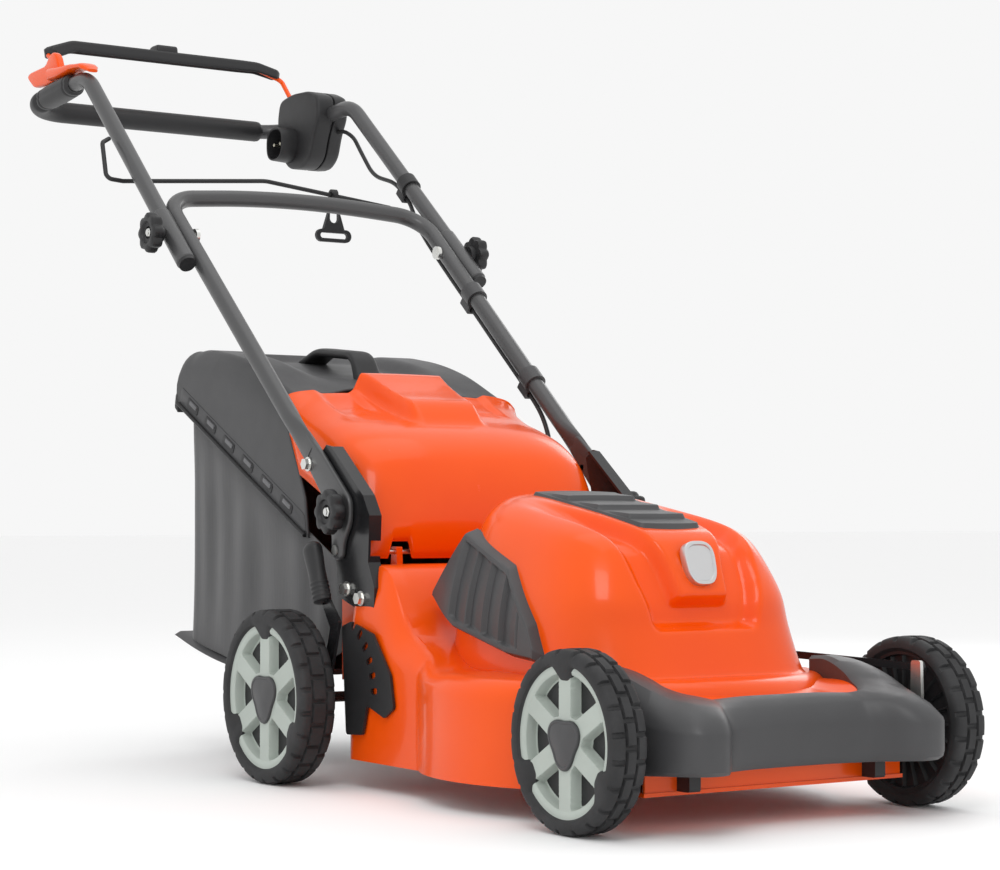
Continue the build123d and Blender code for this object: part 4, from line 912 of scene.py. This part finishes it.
def tyreSurface(axle, side):
    # a side wall and tread profile turned round the axle; grooves cut it into three staggered rows of blocks
    _, width, radius, _, _, blocks = wheels[axle]
    turn = np.linspace(0, 2 * np.pi, wheels["around"], endpoint=False)[:, None]
    fromBack = width - np.array([16, 15, 13.2, 12.2, 7.5, 5, 2.6, 0.8, 0, 0, 3, 6])
    depths = np.r_[6.0, 3.6, 1.0, 0.0, 0.0, 0.8, 2.6, 5.0, 7.5, 12.2, 13.2, 15.0, 16.0, fromBack][None, :]
    radii = np.r_[0.80, 0.83, 0.845, 0.87, 0.91, 0.945, 0.978, 0.992, 0.997, 1, 1, 1, 1, 1, 1, 1, 1,
                  0.997, 0.992, 0.978, 0.945, 0.91, 0.86, 0.83, 0.80][None, :] * radius
    # the side wall reaches inwards in three pointed lobes
    lobe = sum(ease(np.cos(turn - np.radians(at)), np.cos(np.radians(15)), 1) for at in (90, 210, 330))
    reach = np.interp(np.arange(25), [0, 1, 2, 3, 4], [0.15, 0.13, 0.07, 0.02, 0])[None, :]
    radii = radii - reach * radius * lobe
    depths = depths + 0 * turn
    inTread = ease(radii, 0.93 * radius, 0.97 * radius)
    row = np.where(np.abs(depths - width / 2) < 7.6, 0.5, 0.0)
    phase = (turn * blocks / (2 * np.pi) + row) % 1.0
    cross = 1 - ease(np.minimum(phase, 1 - phase), 0.075, 0.11)
    betweenRows = 1 - ease(np.abs(np.abs(depths - width / 2) - (width / 2 - 14.0)), 1.1, 2.0)
    radii = radii - wheels["groove"] * inTread * np.maximum(cross, betweenRows)
    return onWheel(depths, radii, turn, axle, side)


def rimSurface(axle, side):
    # the face's depth over radius and turn: six spokes, six dished windows and a seat for the cap
    _, width, radius, _, _, _ = wheels[axle]
    turn = np.linspace(0, 2 * np.pi, 360, endpoint=False)[:, None]
    rho = np.r_[0.004, np.linspace(0.05, 0.20, 7), np.linspace(0.215, 0.36, 22), np.linspace(0.38, 0.66, 22),
                np.linspace(0.67, 0.76, 16), 0.78, 0.81, 0.835, 0.84][None, :]
    rho, turn = np.broadcast_arrays(rho, turn)
    capEdge = wheels["cap"] * (1 + 0.15 * np.cos(3 * (turn - np.radians(270))))
    cap = 1 - ease(rho, capEdge - 0.018, capEdge + 0.006)
    spokes = np.radians(np.array([30, 90, 150, 210, 270, 330]))
    beside = np.min([rho * np.abs(np.sin(turn - s)) + 9 * (np.cos(turn - s) < 0) for s in spokes], axis=0)
    window = ease(beside, wheels["spokeHalf"] - 0.006, wheels["spokeHalf"] + 0.022)
    window = window * ease(rho, capEdge + 0.035, capEdge + 0.06) * (1 - ease(rho, 0.715, 0.745))
    deep = ease(beside, 0.135, 0.17) * ease(rho, capEdge + 0.085, capEdge + 0.12)
    deep = deep * (1 - ease(rho, 0.66, 0.70))
    depth = 5.6 - 1.5 * ease(rho, 0.74, 0.78) + 2.0 * cap + 11 * window + 8 * deep
    lip = np.concatenate([depth, depth[:, -1:] + 6, depth[:, -1:] + (width - 12)], axis=1)
    rho = np.concatenate([rho, rho[:, -1:], rho[:, -1:]], axis=1)
    turn = np.concatenate([turn, turn[:, -1:], turn[:, -1:]], axis=1)
    return onWheel(lip, rho * radius * 0.99, turn, axle, side)


def capSurface(axle, side):
    # a low three-cornered dome with rounded corners, its edge stepped down to the rim
    radius = wheels[axle][2]
    turn = np.linspace(0, 2 * np.pi, 120, endpoint=False)[:, None]
    edge = wheels["cap"] * (1 + 0.15 * np.cos(3 * (turn - np.radians(270)))) * radius
    share = np.array([1.0, 1.0, 0.985, 0.95, 0.88, 0.85, 0.82, 0.5, 0.2, 0.01])[None, :]
    depth = np.array([9.0, 4.6, 3.4, 2.6, 2.4, 3.0, 2.9, 1.6, 1.1, 1.0])[None, :]
    return onWheel(depth + 0 * turn, edge * share, turn, axle, side)


def backSurface(axle, side):
    # a black disc behind the windows; its inner face carries thin radial ribs and one ring
    _, width, radius, _, _, _ = wheels[axle]
    turn = np.linspace(0, 2 * np.pi, 384, endpoint=False)[:, None]
    rho = np.r_[0.02, 0.17, 0.17, 0.60, 0.77, 0.785, 0.805, 0.82][None, :] * radius
    ribs = 1 - ease(np.abs(np.sin(12 * turn)), 0.10, 0.30)
    ringed = np.array([0, 0, 0, 0, 0, 1.0, 1.0, 1.0])[None, :]
    hub = np.array([1.0, 1.0, 0, 0, 0, 0, 0, 0])[None, :]
    floor = width - 9
    inner = floor + np.maximum(np.maximum(5.0 * ringed, 4.0 * ribs * (1 - hub)), 7.0 * hub)
    front = np.full_like(inner, 16.8)
    depth = np.concatenate([front[:, :1], front[:, -1:], inner[:, ::-1]], axis=1)
    rho = np.concatenate([rho[:, :1], rho[:, -1:], rho[:, ::-1]], axis=1) + 0 * turn
    return onWheel(depth, rho, turn, axle, side)


def makeWheels():
    # four profiles turned about each axle: tread, face, cap and the disc behind
    for axle in ("front", "rear"):
        for word, side in sideSign.items():
            body = f"{axle}_{word}_wheel"
            # rows go round the axle, so each grid is turned to put its columns there
            parts = [np.swapaxes(shape(axle, side), 0, 1)
                     for shape in (tyreSurface, rimSurface, capSurface, backSurface)]
            tyre, rim, cap, back = parts
            tyre = np.concatenate([tyre, tyre[:1]], axis=0)
            start = f"{axle}_{word}_"
            piece(start + "tread", [surface(tyre)], body, "tyreRubber", [start + "tyre"], sharp=35)
            piece(start + "face", [surface(rim)], body, "rimPlastic", [start + "rim"], sharp=30, wall=2.0)
            piece(start + "cap", [surface(cap, ends="flat")], body, "greyPlastic", sharp=30)
            piece(start + "back", [surface(back, ends="flat")], body, "blackPlastic", sharp=30)


makeWheels()
print("wheels made")


# handle tubes, grips and bail

handle = {"pivot": (620.0, 669.0), "lowerX": 197.5, "upperX": 220.0, "topX": 211.0, "radius": 11.0,
          "grip": (903.0, 915.0), "bar": (1112.0, 900.0)}


def onSlope(distance, x):
    # a distance up the handle's slope from its pivot, at a place across
    return np.array([x, handle["pivot"][0], handle["pivot"][1]]) + distance * slopeDir


def makeLowerHandle():
    # each leg's foot is drawn from a round tube to a flat blade; the cross bar bows upwards
    r = handle["radius"]
    path = bentPath([onSlope(-440, -197), onSlope(82, -handle["lowerX"]), onSlope(108, 0),
                     onSlope(82, handle["lowerX"]), onSlope(-440, 197)], [48, 900, 48], 20)
    path = evenly(path, 300)
    section = np.broadcast_to(ring(r, 28), (300, 28, 2)).copy()
    fromEnd = np.linalg.norm(path - np.where(path[:, :1] < 0, path[:1], path[-1:]), axis=1)
    flat = 1 - ease(fromEnd, 14, 74)
    # the section's first axis points across the mower here
    section[..., 0] *= (1 - 0.66 * flat)[:, None]
    section[..., 1] *= (1 + 0.42 * flat)[:, None]
    tube = carry(path, section, slopeUp)
    outline = roundOutline([(322, 393), (304, 412), (258, 378), (196, 326), (196, 300), (213, 275),
                            (214, 258), (236, 256), (238, 296), (252, 322)], 10, 120)
    plate = puffed(outline, 192.4, 199.8, 3.0)
    piece("lower_tube", [tube, plate, mirrored(plate)], "lower_frame", "tubeGrey", ["lower_handle"], sharp=40)


def makeUpperHandle():
    # a round tube bent at four corners, with a tapered sleeve over each foot
    y, z = handle["grip"]
    barY, barZ = handle["bar"]
    top = handle["topX"]
    path = bentPath([onSlope(-60, -handle["upperX"]), (-top, y, z), (-top, barY, barZ), (top, barY, barZ),
                     (top, y, z), onSlope(-60, handle["upperX"])], [60, 55, 55, 60], 18)
    path = evenly(path, 340)
    tube = carry(path, ring(handle["radius"], 28), (0, 0.01, 1))
    sleeves = []
    for sign in (-1, 1):
        x = [sign * (220 - 9 * (d + 60) / 435) for d in (-62, -60, 40, 43)]
        points = [onSlope(d, px) for d, px in zip((-62, -60, 40, 43), x)]
        radii = np.array([10.5, 12.5, 12.5, 11.2])
        sleeves.append(carry(points, ring(1.0, 28)[None] * radii[:, None, None], slopeUp))
    piece("upper_tube", [tube] + sleeves, "upper_frame", "tubeGrey", ["upper_handle"], sharp=40)


grip = {"coverRadius": 15.4, "start": 944.0, "long": 108.0}


def makeCrossbarCover():
    # a thick sleeve from the clamped grip round the bend and along the cross bar, rounded at both ends
    y, z = handle["bar"]
    x = handle["topX"]
    path = evenly(bentPath([(-x, 1056, 904), (-x, y, z), (168, y, z)], [55], 24), 110)
    t = np.linspace(0, 1, 110)
    ending = np.clip(1 - np.minimum(t, 1 - t) / 0.016, 0, 1)
    radii = grip["coverRadius"] * (1 - 0.26 * ending ** 2)
    piece("bar_cover", [carry(path, ring(1.0, 36)[None] * radii[:, None, None], (0, 0.01, 1))], "upper_frame",
          "blackPlastic", ["crossbar_cover"], sharp=40)


def makeGripSleeve():
    # two clamped halves: swollen middle, a groove near each end and a seam along each side
    t = np.linspace(0, 1, 90)
    y = grip["start"] + grip["long"] * t
    z = np.interp(y, [903, 1112], [915, 900])
    groove = sum(np.exp(-((y - at) / 2.0) ** 2) for at in (956, 1040))
    half = 15.2 + 1.2 * np.sin(np.pi * t) - 1.5 * groove - 3.4 * (1 - ease(np.minimum(t, 1 - t), 0, 0.05))
    section = squaredRing(48, 0.82)
    seam = 1 - 0.05 * np.exp(-(section[:, 1] / 0.06) ** 2)
    section = (section * seam[:, None])[None] * half[:, None, None] * [1.0, 0.98]
    path = np.column_stack([np.full(90, -handle["topX"]), y, z])
    clamp = carry(path, section, (0, 0, 1))
    piece("grip_clamp", [clamp], "upper_frame", "blackPlastic", ["grip_sleeve"], sharp=42)


def makeLever():
    # a soft grip that widens towards its top, with four rings at its foot
    foot, top = np.array([-213.6, 231, 208]), np.array([-213.6, 259, 277])
    t = np.linspace(0, 1, 80)
    rings = sum(np.exp(-((t - at) / 0.018) ** 2) for at in (0.10, 0.17, 0.24, 0.31))
    swell = 1 - (1 - ease(t, 0, 0.03)) * 0.4
    ending = np.sqrt(np.clip(1 - np.clip((t - 0.86) / 0.14, 0, 1) ** 2, 0.0004, 1))
    wide = (10.2 - 0.6 * ease(t, 0.3, 0.5) + 0.8 * ease(t, 0.5, 0.9) + 0.7 * rings) * swell * ending
    deep = (11.6 + 3.0 * ease(t, 0.3, 0.95) + 0.9 * rings) * swell * ending
    section = ring(1.0, 36)[None] * np.stack([wide, deep], axis=1)[:, None, :]
    path = foot + (top - foot) * t[:, None]
    knob = carry(path, section, (0, -1, 0.3))
    piece("lever_knob", [knob], "rear_crank", "blackPlastic", ["lever_grip"], sharp=50)


star = {"lobes": 8, "radius": 26.0}


def makeKnob(name, body, centre, low, high, sign):
    # eight lobes round; the face is dished round a sunk nut
    turn = np.linspace(0, 2 * np.pi, 160, endpoint=False)
    wave = 0.5 + 0.5 * np.cos(star["lobes"] * turn)
    lobed = star["radius"] * (0.84 + 0.16 * wave ** 0.7)
    rings = [(8.5, low), (12, low), (13, low + 6), (lobed * 0.93, low + 7), (lobed, low + 9.5),
             (lobed, high - 5), (lobed * 0.97, high - 2), (lobed * 0.88, high - 0.4), (16, high),
             (14.5, high - 0.6), (13.2, high - 3), (12, high - 3.4), (8.2, high - 3.4), (8.0, high - 6),
             (7.0, high - 7.5), (0.2, high - 7.5)]
    piece(name + "_star", [turned(rings, centre, 160, sign)], body, "blackPlastic", [name], sharp=38)
    nut = [(6.2, high - 7.8), (6.2, high - 3.6), (5.4, high - 2.8), (0.2, high - 2.8)]
    piece(name + "_nut", [turned(nut, centre, 6, sign)], body, "zincPlate", sharp=20)


def makeKnobs():
    # two heights on each side, each knob riding on its own body
    levels = (("lower", (214, 312), 200.4, 222.4), ("upper", (620, 669), 232.9, 254.9))
    for word, side in sideSign.items():
        for level, centre, low, high in levels:
            name = f"{level}_knob_{word}"
            makeKnob(name, name + "_body", centre, low, high, side)


makeLowerHandle()
makeUpperHandle()
makeCrossbarCover()
makeGripSleeve()
makeLever()
makeKnobs()
print("handles made")


# bail grip, its saddle, and the switch box

def makeBailGrip():
    # an upturned channel that takes in the rod's two bends, with a thumb tab at its middle
    corners = [(-189, 1085, 976), (-187, 1088, 981), (-154, 1091, 994), (150, 1091, 994), (188, 1090, 985)]
    path = evenly(bentPath(corners, [6, 30, 50], 12), 150)
    t = np.linspace(0, 1, 150)
    end = np.clip(1 - np.minimum(t, 1 - t) / 0.02, 0, 1)
    size = (1 - 0.4 * end ** 2) * (1 - 0.12 * ease(t, 0.8, 1.0) + 0.12 * (1 - ease(t, 0.0, 0.12)))
    section = roundOutline([(-11, -6), (-8.5, 9), (8.5, 9), (11, -6), (7.5, -9), (6.5, 2), (-6.5, 2),
                            (-7.5, -9)], 4, 56)
    grips = [carry(path, section[None] * size[:, None, None], (0, 0, 1))]
    tab = roundOutline([(1086, 1000), (1088, 1013), (1112, 1013), (1121, 1008), (1119, 1001),
                        (1104, 1001), (1100, 992)], 5, 60)
    grips.append(puffed(tab, -17, 17, 3.0))
    piece("bail_cover", grips, "bail", "blackPlastic", ["bail_grip"], sharp=40)


def makeSaddle():
    # the wing lies over the tube's bend; the ear stands up as a ring, with a wedge behind it
    x = -handle["topX"]
    ridge = ((886, 922), (905, 931), (940, 934), (985, 934), (1020, 936))
    wing = evenly(np.array([[x, y, z] for y, z in ridge]), 40)
    t = np.linspace(0, 1, 40)
    half = 13.0 + 2.0 * np.sin(np.pi * t) - 5.5 * (1 - ease(t, 0, 0.12))
    tall = 4.0 + 5.0 * ease(t, 0.25, 0.9) - 1.5 * (1 - ease(t, 0, 0.1))
    parts = [carry(wing, squaredRing(32, 0.7)[None] * np.stack([half, tall], axis=1)[:, None, :], (0, 0, 1))]
    wedge = roundOutline([(990, 928), (996, 946), (1006, 964), (1018, 969), (1030, 965), (1044, 953),
                          (1104, 951), (1110, 944), (1086, 927), (1040, 924)], 8, 110)
    parts.append(puffed(wedge, -215, -203.8, 3.2))
    piece("bail_saddle", parts, "upper_frame", "hoodOrange", ["bail_bracket"], sharp=42)
    hole = [(8.4, -204.2), (7.6, -202.9), (5.4, -202.9), (4.6, -204.5), (4.2, -206)]
    piece("ear_bush", [turned(hole, (1017, 953), 40)], "upper_frame", "blackPlastic", sharp=35)


box = {"side": [(956, 905), (958, 936), (990, 948), (1040, 950), (1078, 944), (1086, 915), (1078, 862),
                (1050, 836), (1008, 832), (984, 846), (972, 880)],
       "seam": 214.0, "low": 184.0, "high": 238.0}


def makeSwitchBox():
    # two clamped shells with a fine seam; the outer one is stepped in at its face
    outline = roundOutline(box["side"], 12, 150)
    inner = puffed(outline, box["low"], box["seam"] - 0.2, 5.0, 6)
    piece("switch_shell_inner", [inner], "upper_frame", "blackPlastic", ["switch_box_inner"], sharp=40)
    seam, high = box["seam"], box["high"]
    rings = [(1.2, seam + 0.2), (0.0, seam + 1.0), (0.0, high - 7), (1.5, high - 3), (4.5, high - 1),
             (7.5, high - 1), (8.5, high - 2.2), (10.5, high - 2.2), (11.5, high - 0.2), (16, high)]
    outer = acrossX([x for _, x in rings], [inward(outline, amount) for amount, _ in rings])
    piece("switch_shell_outer", [outer], "upper_frame", "blackPlastic", ["switch_box_outer"], sharp=36)
    turn = np.linspace(0, 2 * np.pi, 64, endpoint=False)
    square = (np.abs(np.cos(turn)) ** 2.6 + np.abs(np.sin(turn)) ** 2.6) ** (-1 / 2.6)
    shroud = [(26.5, 184.5), (26.0, 176), (25.0, 160), (24.4, 158.2), (23.0, 158.0), (22.2, 158.8),
              (22.0, 175), (21.5, 180), (1.0, 180)]
    inlet = turned([(r * square, x) for r, x in shroud], (1046, 872), 64)
    piece("inlet_hood", [inlet], "upper_frame", "blackPlastic", ["power_inlet"], sharp=36)


makeBailGrip()
makeSaddle()
makeSwitchBox()
print("grips and switch made")
